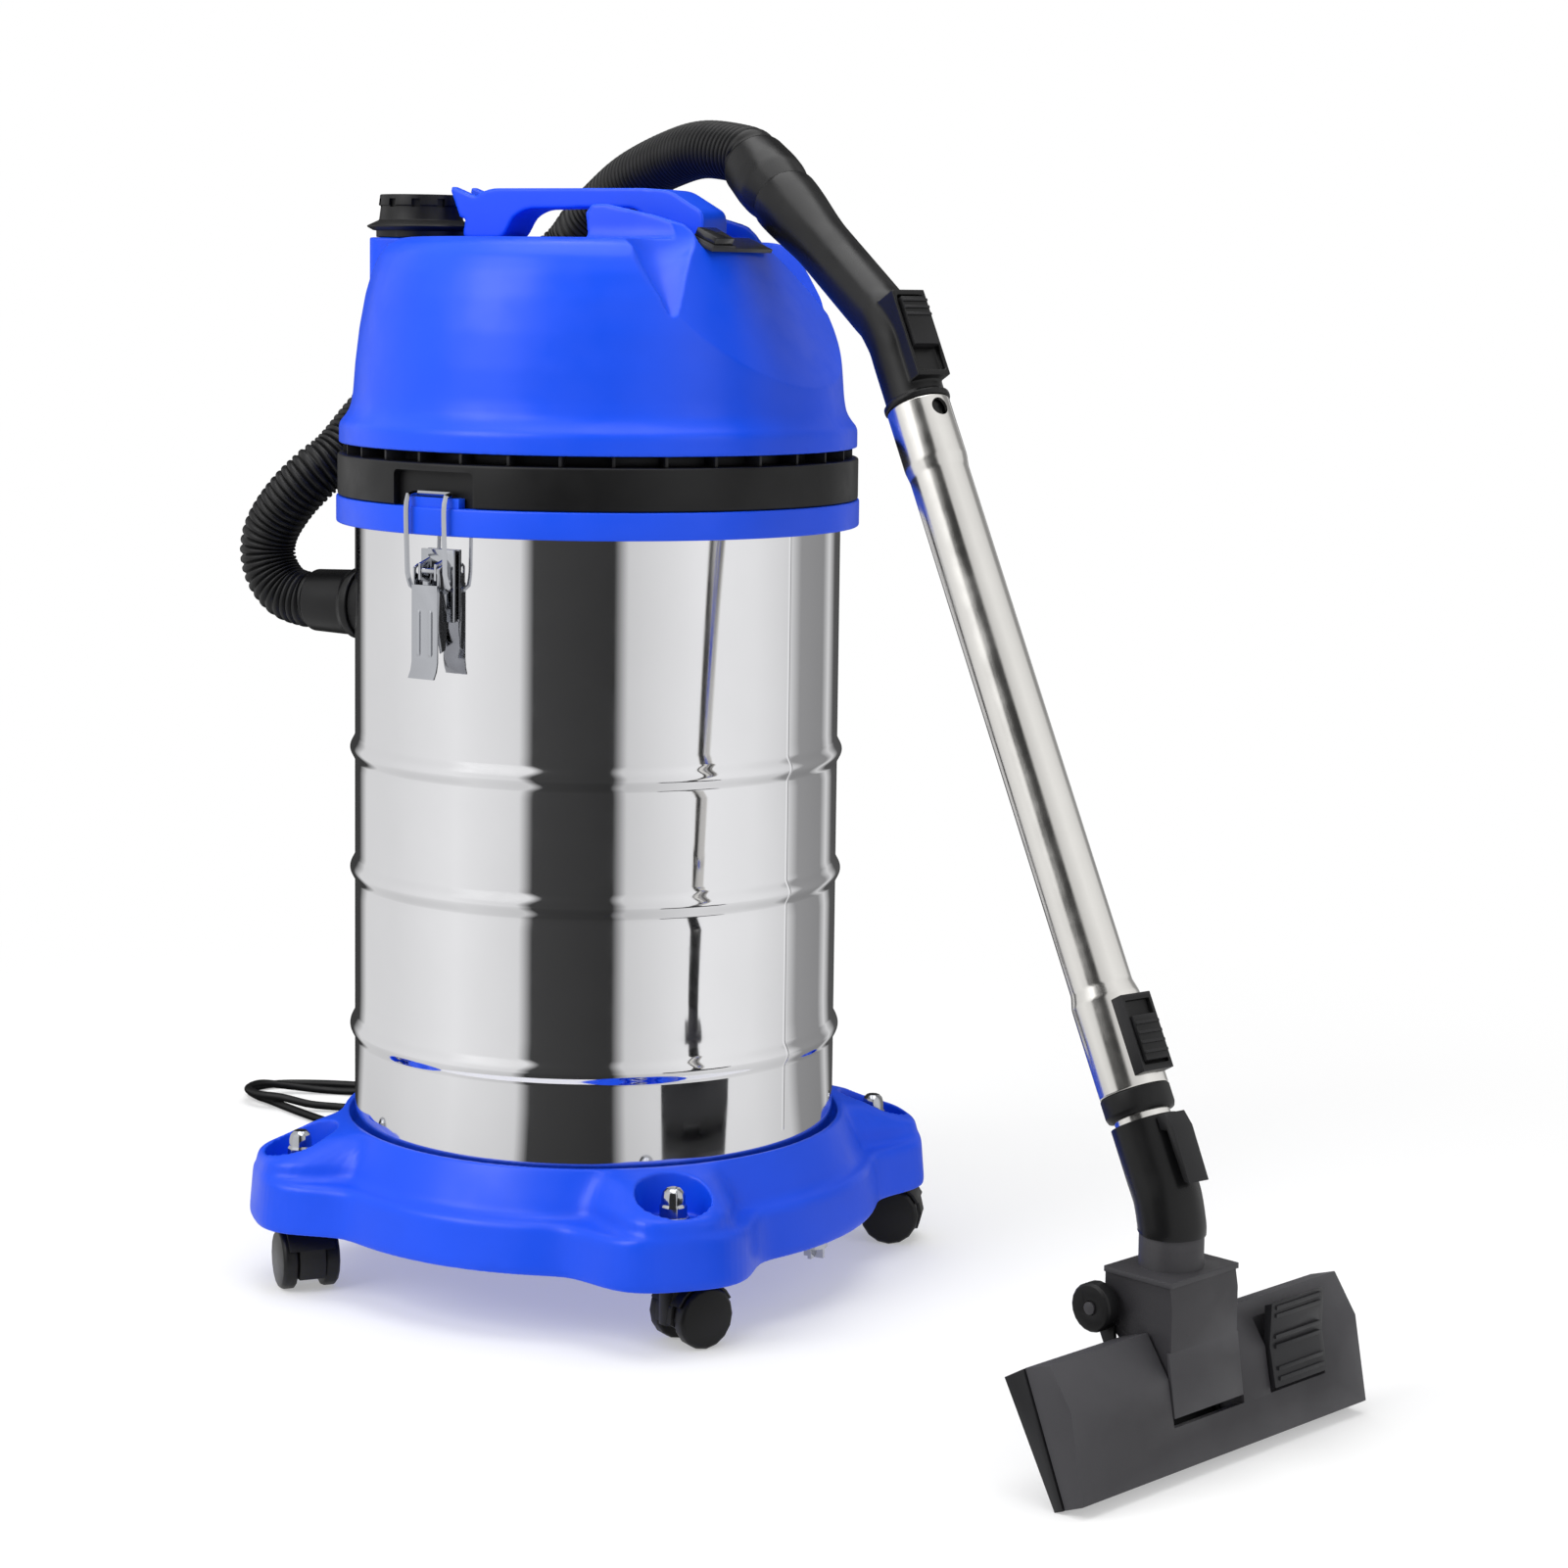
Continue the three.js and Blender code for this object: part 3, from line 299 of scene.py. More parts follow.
def surface(name, rgb, rough, metal=0.0, grain=0.02, grain_size=900.0, tone=0.06, edge_wear_and_highlight=None, streak=None,
            shine=0.5, spread=0.06):
    """A finished surface: colour that varies slightly, roughness that follows handling marks, a moulded or
    drawn grain in the bump, and convex edges painted lighter, partly as wear and partly as a painted edge
    highlight."""
    mat = bpy.data.materials.new(name)
    mat.use_nodes = True
    nodes, links = mat.node_tree.nodes, mat.node_tree.links
    shader = nodes["Principled BSDF"]
    shader.inputs["Metallic"].default_value = metal
    shader.inputs["Specular IOR Level"].default_value = shine
    place = nodes.new("ShaderNodeTexCoord").outputs["Object"]
    base = linear(rgb)

    def noise(scale, detail, stretch=None):
        source = place
        if stretch:
            mapping = nodes.new("ShaderNodeMapping")
            mapping.inputs["Scale"].default_value = stretch
            links.new(place, mapping.inputs["Vector"])
            source = mapping.outputs["Vector"]
        n = nodes.new("ShaderNodeTexNoise")
        n.inputs["Scale"].default_value, n.inputs["Detail"].default_value = scale, detail
        links.new(source, n.inputs["Vector"])
        return n.outputs["Fac"]

    def ramp(source, low, high, at_low=0.35, at_high=0.65):
        r = nodes.new("ShaderNodeMapRange")
        r.inputs["From Min"].default_value, r.inputs["From Max"].default_value = at_low, at_high
        r.inputs["To Min"].default_value, r.inputs["To Max"].default_value = low, high
        links.new(source, r.inputs["Value"])
        return r.outputs["Result"]

    def mix(factor, one, two):
        m = nodes.new("ShaderNodeMix")
        m.data_type = "RGBA"
        for socket, value in ((m.inputs["Factor"], factor), (m.inputs["A"], one), (m.inputs["B"], two)):
            if hasattr(value, "links") or isinstance(value, bpy.types.NodeSocket):
                links.new(value, socket)
            else:
                socket.default_value = value
        return m.outputs["Result"]

    cloud = noise(14.0, 4.0)
    lighter = [min(1.0, c * (1 + tone) + 0.002) for c in base] + [1]
    darker = [c * (1 - tone) for c in base] + [1]
    colour = mix(ramp(cloud, 0, 1), darker, lighter)
    # Convex edges, found by pointiness, are painted lighter: partly wear, partly a painted edge highlight.
    if edge_wear_and_highlight:
        edge = nodes.new("ShaderNodeNewGeometry").outputs["Pointiness"]
        colour = mix(ramp(edge, 0.0, 0.5, 0.53, 0.62), colour, [*linear(edge_wear_and_highlight), 1])
    links.new(colour, shader.inputs["Base Color"])
    marks = noise(38.0, 6.0)
    links.new(ramp(marks, rough * (1 - spread * 2), rough * (1 + spread * 3)), shader.inputs["Roughness"])
    height = noise(grain_size, 3.0, streak)
    bump = nodes.new("ShaderNodeBump")
    bump.inputs["Strength"].default_value = grain
    bump.inputs["Distance"].default_value = 0.0004
    links.new(height, bump.inputs["Height"])
    links.new(bump.outputs["Normal"], shader.inputs["Normal"])
    return mat


# The edge colour given to each moulding paints its convex edges lighter: partly wear, partly a painted edge
# highlight.
BLUE = surface("blue_moulding", (6, 72, 222), 0.36, grain=0.05, tone=0.03, edge_wear_and_highlight=(40, 104, 246), shine=0.28)
BLACK = surface("black_moulding", (13, 13, 14), 0.40, grain=0.10, tone=0.10, edge_wear_and_highlight=(48, 48, 51), shine=0.25)
SATIN = surface("satin_black", (11, 11, 12), 0.30, grain=0.05, tone=0.10, edge_wear_and_highlight=(42, 42, 45), shine=0.25)
CHARCOAL = surface("charcoal_moulding", (50, 49, 52), 0.48, grain=0.25, grain_size=1600.0, tone=0.05,
                   edge_wear_and_highlight=(96, 96, 100), shine=0.3)
RUBBER = surface("ribbed_rubber", (10, 10, 11), 0.38, grain=0.12, tone=0.12, edge_wear_and_highlight=(34, 34, 36), shine=0.25)
CABLE = surface("cable_sheath", (12, 12, 13), 0.45, grain=0.15, tone=0.12, shine=0.3)
STEEL = surface("polished_steel", (226, 226, 228), 0.055, 1.0, grain=0.006, grain_size=60.0, tone=0.012,
                streak=(1, 1, 0.05), spread=0.12)
TUBE = surface("drawn_steel", (222, 220, 216), 0.16, 1.0, grain=0.02, grain_size=700.0, tone=0.015,
               streak=(1, 1, 0.02), spread=0.12)
CHROME = surface("chrome", (178, 180, 185), 0.11, 1.0, grain=0.01, grain_size=500.0, tone=0.02)
PANEL = surface("panel_moulding", (24, 24, 26), 0.34, grain=0.10, tone=0.10, edge_wear_and_highlight=(74, 74, 78), shine=0.4)
ROCKER = surface("glossy_rocker", (14, 14, 15), 0.18, grain=0.02, tone=0.08, edge_wear_and_highlight=(56, 56, 60), shine=0.6)
CASTING = surface("motor_metal", (170, 172, 174), 0.35, 1.0, grain=0.1, grain_size=400.0)
CLOTH = surface("filter_cloth", (214, 210, 200), 0.85, grain=0.5, grain_size=2600.0)

# ---- Cords: the mains lead and the suction hose ----
# Height of the lead's centre on the floor, its radius, the step between turns, and the coil's middle turn
FLOOR_Z, LEAD_R, PITCH, TURN_R = 3.85, 3.25, 6.7, 39.0
COIL_SIDE, COIL_BACK, COIL_OUT = 30.0, 360.0, TURN_R + PITCH
LEAD_LENGTH, GLAND_AZIMUTH = 5.0, 108
SIGHT = (0.887, 0.461)
HOSE_R, HOSE_PITCH, HOSE_RIDGE, INLET_Z, INLET_END = 20.5, 5.2, 2.1, 462, 240.3


def laid(side, back, z=FLOOR_Z):
    """A point on the floor by its distances sideways and away from the viewer."""
    return (SIGHT[1] * side + SIGHT[0] * back, SIGHT[1] * back - SIGHT[0] * side, z)


def out(r, z):
    """A point straight out from the lead's gland."""
    return (r * math.sin(rad(GLAND_AZIMUTH)), -r * math.cos(rad(GLAND_AZIMUTH)), z)


LEAD_ROUTE = [
    out(183, 563), out(206, 563), out(222, 556), out(232, 536), out(234, 480), out(230, 300), out(226, 100),
    (215.5, 72, 36), (216.5, 81, 15), (218, 98, 5.6), (219.5, 120, FLOOR_Z), laid(-25, 262), laid(-66, 308),
    laid(-112, 378), laid(-162, 450), laid(-198, 482), laid(-236, 496), laid(-280, 500), laid(-308, 494),
    laid(-322, 474), laid(-312, 452), laid(-300, 438), laid(-269, 399), laid(-239, 366), laid(-214, 352),
    laid(-192, 364), laid(-190, 390), laid(-206, 408), laid(-234, 416, 4), laid(-262, 417, 6),
    laid(-287, 422, 10.4), laid(-309, 432, 10.6), laid(-320, 450, 10.8), laid(-312, 470, 10.6),
    laid(-292, 478, 7), laid(-262, 478), laid(-233, 473), laid(-190, 458, 9), laid(-156, 444, 10.6),
    laid(-118, 430, 8), laid(-70, 414), laid(-30, 407), laid(0, COIL_BACK + COIL_OUT)]
LEAD_TAIL = [laid(57.4, 405.7, 23.45), laid(63.4, 405.7, 22.85), laid(78, 405.7, 18.8),
             laid(84.5, 405.7, 18.7)]


def coil_points(per_turn=16, across=3, high=4, step_from=0.7):
    """Turns side by side and in layers; each turn steps to its neighbour over its last part."""
    points, order = [], []
    for layer in range(high):
        lanes = range(across) if layer % 2 == 0 else range(across - 1, -1, -1)
        order += [(COIL_OUT - PITCH * lane, LEAD_R + 0.2 + PITCH * layer) for lane in lanes]
    for k, (r, z) in enumerate(order):
        after = order[min(k + 1, len(order) - 1)]
        for i in range(per_turn):
            share = max(0.0, (i / per_turn - step_from) / (1 - step_from))
            ease = share * share * (3 - 2 * share)
            rr, zz = r + (after[0] - r) * ease, z + (after[1] - z) * ease
            a = 2 * math.pi * i / per_turn
            points.append(laid(COIL_SIDE + rr * math.sin(a), COIL_BACK + rr * math.cos(a), zz))
    last = order[-1]
    points.append(laid(COIL_SIDE, COIL_BACK + last[0], last[1]))
    return points


def mains_lead():
    """The lead as one Bezier curve: free run, coil and tail."""
    route = LEAD_ROUTE + coil_points() + LEAD_TAIL
    data = bpy.data.curves.new("mains_lead", "CURVE")
    data.dimensions, data.resolution_u = "3D", 6
    data.bevel_depth, data.bevel_resolution, data.use_fill_caps = LEAD_R * MM, 5, True
    spline = data.splines.new("BEZIER")
    spline.bezier_points.add(len(route) - 1)
    p = np.array(route) * MM
    ends = np.vstack([2 * p[0] - p[1], p, 2 * p[-1] - p[-2]])
    for k, knot in enumerate(spline.bezier_points):
        slope = Vector(0.5 * (ends[k + 2] - ends[k]) / 3)
        knot.co = Vector(p[k])
        knot.handle_left_type = knot.handle_right_type = "FREE"
        knot.handle_left, knot.handle_right = knot.co - slope, knot.co + slope
    ob = bpy.data.objects.new("mains_lead", data)
    data.materials.append(CABLE)
    bpy.context.scene.collection.objects.link(ob)
    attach(ob, "machine")
    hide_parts("mains_cord", "cord_coil", "cord_tail")


mains_lead()

HOSE_ROUTE = [
    (0, INLET_END, INLET_Z), (0, 250, INLET_Z), (0, 267.5, 466.7), (0, 280.3, 479.5), (0, 285, 497),
    (0, 280, 515), (2, 265, 536), (9, 249, 554), (22, 236, 569), (44, 223, 597), (75, 205, 633),
    (112, 180, 668), (143, 147, 699), (155, 121, 722), (152, 104, 739), (147, 85, 754), (132, 51, 773),
    (107, 4, 787), (80.5, -39, 792.6)]
FOOT, WAND_TURN, WAND_LEAN = (-183.6, -510.2, 150.0), -25.8, 28.4
BEND, GRIP_ANGLE, GRIP_TWIST, GRIP_LENGTH, CUFF = 592.0, 32.7, 13.6, 171.6, 53.0
UPRIGHT = at(*FOOT) @ turn(WAND_TURN)
WAND = UPRIGHT @ turn(-WAND_LEAN, "X")
GRIP_WAY = Vector((math.sin(rad(GRIP_TWIST)) * math.sin(rad(GRIP_ANGLE)),
                   math.cos(rad(GRIP_TWIST)) * math.sin(rad(GRIP_ANGLE)), math.cos(rad(GRIP_ANGLE))))


def grip_at(s):
    """A point along the bent grip's axis, in the wand's own frame."""
    return tuple(Vector((0, 0, BEND)) + GRIP_WAY * s)


def suction_hose():
    """The corrugated hose: a ridge every few millimetres along its route."""
    end = GRIP_LENGTH + CUFF + 0.6
    route = HOSE_ROUTE + [tuple(WAND @ Vector(grip_at(s))) for s in (end + 12, end)]
    fine = catmull(route, 0.5, 1600)
    length = np.linalg.norm(np.diff(fine, axis=0), axis=1).sum()
    ribs = round(length / HOSE_PITCH)
    per_rib = 8
    centres = catmull(route, 0.5, ribs * per_rib)
    wave = np.array([0.0, 0.35, 0.80, 0.97, 1.0, 0.97, 0.80, 0.35])
    radii = HOSE_R - HOSE_RIDGE + HOSE_RIDGE * np.tile(wave, ribs + 1)[: len(centres)]
    ob = piece("suction_hose", sweep(centres, radii, 44), "machine", RUBBER, ["hose"],
               sharp=80)


suction_hose()


# ---- Tank ----
# Heights of the three rolled beads, then how far each stands out and reaches up and down
BEADS = (175.0, 287.0, 372.0)
TANK_R, TANK_LOW, TANK_HIGH, BULGE, BEAD = 170.0, 100.3, 541.0, 3.4, 9.0
WALL, SEAM_AZIMUTH, SEAM_HALF = 1, -10, 1.5


def tank_radius(z):
    r = TANK_R
    for b in BEADS:
        if abs(z - b) < BEAD:
            r += BULGE * (0.5 + 0.5 * math.cos(math.pi * (z - b) / BEAD)) ** 0.8
    return r


def tank():
    """The open steel drum with its rolled beads, inlet hole and side seam."""
    heights = sorted({round(z, 2) for b in BEADS for z in np.linspace(b - BEAD, b + BEAD, 25)}
                     | {TANK_HIGH} | set(np.linspace(107, 535, 30).round(2)))
    low = fillet([(0, TANK_LOW), (TANK_R, TANK_LOW), (TANK_R, 120)], 6, 6)[:-1]
    outside = [(tank_radius(z), z) for z in heights]
    floor_top = TANK_LOW + WALL
    inside = [(TANK_R - WALL, TANK_HIGH), (TANK_R - WALL, 107), (TANK_R - 7, floor_top), (0, floor_top)]
    shell = lathe(low + outside + inside, 256)
    inlet = moved(rod(19, 40, 48), at(0, TANK_R - 20, INLET_Z), turn(-90, "X"))
    piece("tank_shell", cut(shell, inlet), "machine", STEEL, ["tank"], sharp=40)
    # The side seam, a narrow weld that stands just proud of the wall
    rings = []
    for z in [z for z in heights if z > 110]:
        ring = []
        for k in range(7):
            w = -SEAM_HALF + 0.5 * k
            a = rad(SEAM_AZIMUTH) + w / TANK_R
            r = tank_radius(z) + 0.35 * math.cos(math.pi * w / (2 * SEAM_HALF)) - 0.02
            ring.append((r * math.sin(a), -r * math.cos(a), z))
        a0, a1 = (rad(SEAM_AZIMUTH) + side * SEAM_HALF / TANK_R for side in (1, -1))
        r = tank_radius(z) - 0.4
        ring += [(r * math.sin(a0), -r * math.cos(a0), z), (r * math.sin(a1), -r * math.cos(a1), z)]
        rings.append(ring)
    piece("tank_seam", loft(rings), "machine", STEEL, sharp=60)


tank()

# ---- Dolly ----
LOBES = (45, -45, -135, 135)
BOLT_R = 211.0
# Outline levels: base radius, reach of the lobes, their spread in degrees, and height
SKIRT = [(203, 41, 15, 46), (204, 41, 15, 49), (199.5, 43, 15, 79), (191, 50, 12, 83), (187, 52, 12, 92),
         (180, 22, 11, 107), (177.5, 2, 11, 112)]
UNDER = [(200, 41, 15, 45), (195, 43, 15, 75), (180, 48, 12, 81), (176, 16, 11, 96)]


def dolly_ring(base, lobe, spread, z, count=288):
    """One level of the dolly: a circle with a flat-topped lobe over each castor."""
    ring = []
    for i in range(count):
        a = 360 * i / count
        off = (a % 90) - 45
        r = base + lobe * math.exp(-((off / spread) ** 4))
        ring.append((r * math.sin(rad(a)), -r * math.cos(rad(a)), z))
    return ring


def dolly():
    """The moulded dolly: skirt, hollow underside with ribs, seat for the tank and bolt pockets."""
    outside = loft([dolly_ring(*level) for level in fillet(SKIRT, 5, 4)])
    hollow = loft([dolly_ring(*level) for level in UNDER])
    seat = lathe([(0, 100), (170.3, 100), (174, 106), (174, 113), (0, 113)], 192)

    def around(shape):
        return [moved(shape, turn(a), at(0, -BOLT_R, 0)) for a in LOBES]

    pillars = around(moved(rod(26.5, 60, 48), at(0, 0, 48)))
    pocket = fillet([(14.5, 86), (14.5, 82), (24, 82), (25.5, 104), (27, 125)], 1.5, 3)
    pockets = around(lathe([(0, 86), *pocket, (0, 125)], 48))
    studs = around(moved(rod(5.3, 90, 24), at(0, 0, 36)))
    ribs = [moved(block(-176, 176, -2, 2, 79, 99), turn(a)) for a in (45, 135)]
    inside = common(join(pillars[0], *pillars[1:], *ribs), outside)
    body = cut(join(cut(outside, hollow), inside), seat, *pockets, *studs)
    piece("dolly_shell", soften(body, 1.2, 4), "machine", BLUE, ["dolly_base"], sharp=180)


dolly()


# ---- Rim, motor base and head ----
LATCH_AT = (-97, 83)
RIM_R, RIM_LOW, RIM_HIGH, RIM_SEAT, LUG_HALF = 183, 530.5, 549, 541.3, 23
RING_R, RING_LOW, RING_HIGH, RING_FLOOR, RING_WALL = 182, 549.3, 578, 556, 158


def rim():
    """The blue collar on the tank's edge, with a lug for each latch."""
    section = [(171, RIM_LOW), (RIM_R, RIM_LOW), (RIM_R, RIM_HIGH), (158, RIM_HIGH), (158, RIM_SEAT),
               (171, RIM_SEAT)]
    ring = lathe(fillet(section, 1.6, 4, closed=True), 256)
    bar = block(-LUG_HALF, LUG_HALF, -182, -173.5, RIM_HIGH - 1, RIM_HIGH + 6.5)
    lug = common(bar, moved(rod(181.4, 30, 256), at(0, 0, 544)))
    whole = join(ring, *[moved_mesh(lug, turn(a)) for a in LATCH_AT])
    piece("rim_collar", whole, "machine", BLUE, ["rim_ring"], sharp=32)


def motor_base():
    """The black ring under the vent, with a window over each latch lug."""
    section = [(42, 552), (164, 552), (164, RING_LOW), (RING_R, RING_LOW), (RING_R, RING_HIGH),
               (RING_WALL, RING_HIGH), (RING_WALL, RING_FLOOR), (42, RING_FLOOR)]
    body = lathe(fillet(section, 1.8, 4, closed=True), 256)
    window = moved(prism(rounded_rect(-34, 34, 530, 573, 4), 0, 30), at(0, -172.5, 0), turn(90, "X"))
    whole = cut(body, *[moved(window, turn(a)) for a in LATCH_AT])
    piece("base_ring", whole, "machine", BLACK, ["motor_base"], sharp=32)


rim()
motor_base()

# The head's deck and lower lip, the leaning face of its chin, and the slot between its cheeks
DECK, LIP = 727.5, 585.3
CHIN_Y, CHIN_Z, CHIN_LEAN, CHIN_R, CHIN_SPREAD = -170.0, 629.0, 33.7, 500.0, 400.0
SLOT_HALF, SLOT_FRONT, SLOT_TILT = 44.0, -92.0, 23.0


def chin_space(offset=0.0):
    """All the space behind the chin's gently curved, leaning face."""
    span, steps, back, reach = 0.3, 120, 420, 500
    outline = []
    for i in range(steps + 1):
        a = -span + 2 * span * i / steps
        outline.append((CHIN_R * math.sin(a), CHIN_R - CHIN_R * math.cos(a)))
    edge = CHIN_R * math.sin(span) + CHIN_SPREAD
    outline += [(edge, back), (-edge, back)]
    place = at(0, CHIN_Y + offset, CHIN_Z - offset)
    return moved(prism(outline, -reach, reach), place, turn(-CHIN_LEAN, "X"))


def scoop(side):
    """The hollow between a cheek and the dome: a trough in the chin's face that narrows downwards."""
    lean = rad(CHIN_LEAN)
    across, normal = Vector((1, 0, 0)), Vector((0, -math.cos(lean), math.sin(lean)))
    edges = [(115.0, 117.0, 668), (112.5, 116.5, 674), (96, 117, 689), (80, 119, 703), (66, 119.5, 714),
             (50, 120, 728), (50, 124, 764)]
    rings = []
    for inner, outer, z in catmull(edges, 0.4, 40):
        width, middle = outer - inner, (inner + outer) / 2
        depth = 1 + 0.22 * width
        radius = (width * width / 4 + depth * depth) / (2 * depth)
        y = CHIN_Y + (z - CHIN_Z) * math.tan(lean) + middle**2 / (2 * CHIN_R) / math.cos(lean)
        centre = Vector((side * middle, y, z)) + normal * (radius - depth)
        turns = [2 * math.pi * k / 64 for k in range(64)]
        rings.append([tuple(centre + across * (radius * math.cos(a)) - normal * (radius * math.sin(a)))
                      for a in turns])
    return loft(rings)


def head_cover():
    """The dome with its port block, the two cheeks, the slot between them and the hollow inside."""
    profile = [(181, LIP), (181, 599), (176.5, 604), (173, 610), (171.3, 620), (169.8, 640), (166.8, 665),
               (162.6, 688), (158, 704), (152.5, 716), (145.5, 723.5), (137, 726.8), (128, DECK)]
    dome = lathe([(0, LIP), *fillet(profile, 3, 3), (0, DECK)], 256)
    port = prism(rounded_rect(-36, 26, 60, 174, 12, 12), 612, DECK)
    crest = [(-17, 745), (-22, 750.8), (-32, 751), (-70, 743.5), (-92, 737.5), (-103, 729), (-110, 716),
             (-190, 640), (-190, 620), (-40, 620)]
    wide = along_x(crest, -150, 150)
    halves = fillet([(250, 640), (132, 660), (96, 689), (66, 714), (51, 728), (49.5, 752)], 8, 5)
    flare = loft([[(-h, -8, z), (h, -8, z), (h * 1.05, -230, z), (-h * 1.05, -230, z)] for h, z in halves])
    bulk = lathe([(0, 610), *fillet([(170, 610), (169.3, 640), (166, 666), (162, 689), (157.5, 704),
                                     (152, 716.5), (146, 727), (136, 755)], 3, 3), (0, 755)], 256)
    cheeks = common(wide, flare, bulk)
    body = common(join(dome, port, cheeks), chin_space())
    fall = math.tan(rad(SLOT_TILT)) * (200 + SLOT_FRONT)
    slot = along_x([(-14, DECK), (SLOT_FRONT, DECK), (-200, DECK - fall), (-200, 800), (-14, 800)],
                   -SLOT_HALF, SLOT_HALF)
    inside = lathe([(0, LIP - 1), (165, LIP - 1), (165, 640), (160, 670), (153, 690), (134, 706), (60, 712),
                    (0, 712)], 128)
    hollow = common(inside, chin_space(22))
    body = cut(body, slot, hollow, scoop(-1), scoop(1))
    piece("head_shell", soften(body, 1.2, 4), "machine", BLUE, ["head_cover"], sharp=180)


head_cover()


def carry_handle():
    """The bridge over the deck, with two small horns at its rear end."""
    low, under, top, half = DECK + 0.3, 749.0, 762.5, 17.0
    side = [(-91, low), (-91, 746), (-64, top - 1.5), (-44, top), (80, top), (92, top - 4), (100, top - 14),
            (104, low), (70, low), (61, 743), (50, under - 1), (0, under), (-36, under), (-45, 743),
            (-48, low)]
    horn = [(84, 755), (97, 758), (113, 764), (113.5, 760.5), (106, 742), (96, 740)]
    bar = along_x(fillet(side, 5, 4, closed=True), -half, half)
    whole = join(bar, along_x(horn, -half, -half + 8), along_x(horn, half - 8, half))
    piece("carry_bridge", soften(whole, 0.9, 7), "machine", BLUE, ["carry_handle"],
          sharp=180)


carry_handle()


def exhaust_port():
    """The black spout on the port block, with notches round its mouth."""
    radius, bore, low, top = 30.0, 24.0, DECK + 0.3, 758.0
    profile = [(bore, low), (radius + 2, low), (radius + 2, 732.5), (radius + 4, 732.5),
               (radius + 8.5, 735), (radius + 8.5, 736), (radius, 740), (radius - 1.3, 750),
               (radius + 0.2, 750.2), (radius - 0.8, top), (bore + 2, top), (bore, top - 3)]
    body = lathe(fillet(profile, 0.7, 3, closed=True), 144)
    notch, count = block(-3, 3, -radius - 4, -radius + 3, 749, top - 3), 10
    notches = [moved(notch, turn(360 / count * i + 8)) for i in range(count)]
    whole = moved_mesh(cut(body, *notches), at(-5, 146, 0))
    piece("exhaust_spout", whole, "machine", BLACK, ["exhaust_port"], sharp=30)


exhaust_port()


# ---- Wand ----
TUBE_R, TUBE_LOW, TUBE_HIGH, INNER_R = 19.5, 75.0, 535.0, 17.5


def on_wand(name, shape, body, material, replaces, sharp=35):
    """A piece drawn along the wand's own axis."""
    shape = moved_mesh(shape, WAND) if isinstance(shape, bpy.types.Mesh) else moved(shape, WAND)
    return piece(name, shape, body, material, replaces, sharp)


def wand_handle():
    """The bent grip, which flares towards the hose, with the seat of its suction slider."""
    r, start, flare, widening = TUBE_R, TUBE_HIGH + 0.3, 66, 4.2
    route = [(0, 0, start), (0, 0, start + 10), (0, 0, BEND - 24), (0, 0, BEND - 10), grip_at(10),
             grip_at(24), grip_at(70), grip_at(GRIP_LENGTH - 40), grip_at(GRIP_LENGTH)]
    way = catmull(route, 0.4, 120)
    along = (way - np.array(grip_at(0))) @ np.array(GRIP_WAY)
    past = np.maximum(0.0, along - (GRIP_LENGTH - flare)) / flare
    tube = sweep(way, r + widening * (past * past * (3 - 2 * past)), 96)
    inner = [(0, 0, 475), *route[2:-1], grip_at(GRIP_LENGTH + 12)]
    bore = sweep(catmull(inner, 0.4, 90), r - 5.5, 48)
    collar = moved(rod(r + 2.4, 4, 96), at(0, 0, start))
    spigot = moved(rod(r - 2.8, 60, 64), at(0, 0, start - 50))
    seat = block(-13, 13, -r - 5.5, -8, start + 11, start + 72)
    well = block(-10.5, 10.5, -r - 7, -r - 1.5, start + 15, start + 68)
    whole = cut(join(tube, collar, spigot, seat), bore, well)
    on_wand("handle_shell", soften(whole, 0.8, 6), "machine", SATIN, ["wand_handle"],
            180)


def wand_tubes():
    """The outer tube with its swaged ends, the inner tube in it, and the collar at its foot."""
    r, low, top, inner = TUBE_R, TUBE_LOW, TUBE_HIGH, INNER_R
    profile = [(r, low), (r + 2, low), (r + 2, low + 58), (r, low + 66), (r, top - 48), (r + 1.2, top - 40),
               (r + 1.2, top), (r - 1.2, top), (r - 1.2, low + 68)]
    hole = moved(rod(6, 12, 48), at(0, -r, top - 9), turn(90, "X"), at(0, 0, -6))
    outer_pipe = cut(lathe(fillet(profile, 1.2, 4, closed=True), 128), hole)
    on_wand("outer_pipe", outer_pipe, "machine", TUBE, ["outer_tube"], 30)
    wall, foot, end = inner - 1.3, 40, top - 66
    inner_pipe = lathe([(wall, foot), (inner, foot), (inner, end), (wall, end)], 96)
    on_wand("inner_pipe", inner_pipe, "lower_wand", TUBE, ["inner_tube"], 30)
    ring = [(inner + 0.3, low - 15), (r + 1, low - 15), (r + 2.2, low - 12), (r + 2.2, low - 0.3),
            (inner + 0.3, low - 0.3)]
    on_wand("collar_band", lathe(fillet(ring, 0.9, 3, closed=True), 96), "machine", BLACK,
            ["collar_ring"], 30)


def cuffs():
    """The cuff that turns on the grip, and the one that holds the hose in the tank's inlet."""
    end = CUFF
    grip = Vector((0, 0, 1)).rotation_difference(GRIP_WAY).to_matrix().to_4x4()
    body = fillet([(16, 0), (21, 0), (24.5, 18), (24.8, 30), (23.5, end), (16, end)], 3, 5, closed=True)
    turned = moved(lathe(body, 96), at(*grip_at(GRIP_LENGTH + 0.3)), grip)
    on_wand("swivel_cuff", turned, "hose_cuff", SATIN, ["hose_handle_cuff"], 40)
    wall = fillet([(16, 180), (19, 180), (19, 197.4), (26.5, 197.4), (26.5, 203), (24, 207), (22.8, 240),
                   (16, 240)], 1.2, 3, closed=True)
    tank_cuff = moved(lathe(wall, 96), at(0, 0, INLET_Z), turn(-90, "X"))
    piece("tank_cuff", tank_cuff, "machine", SATIN, ["hose_inlet_cuff"], 40)


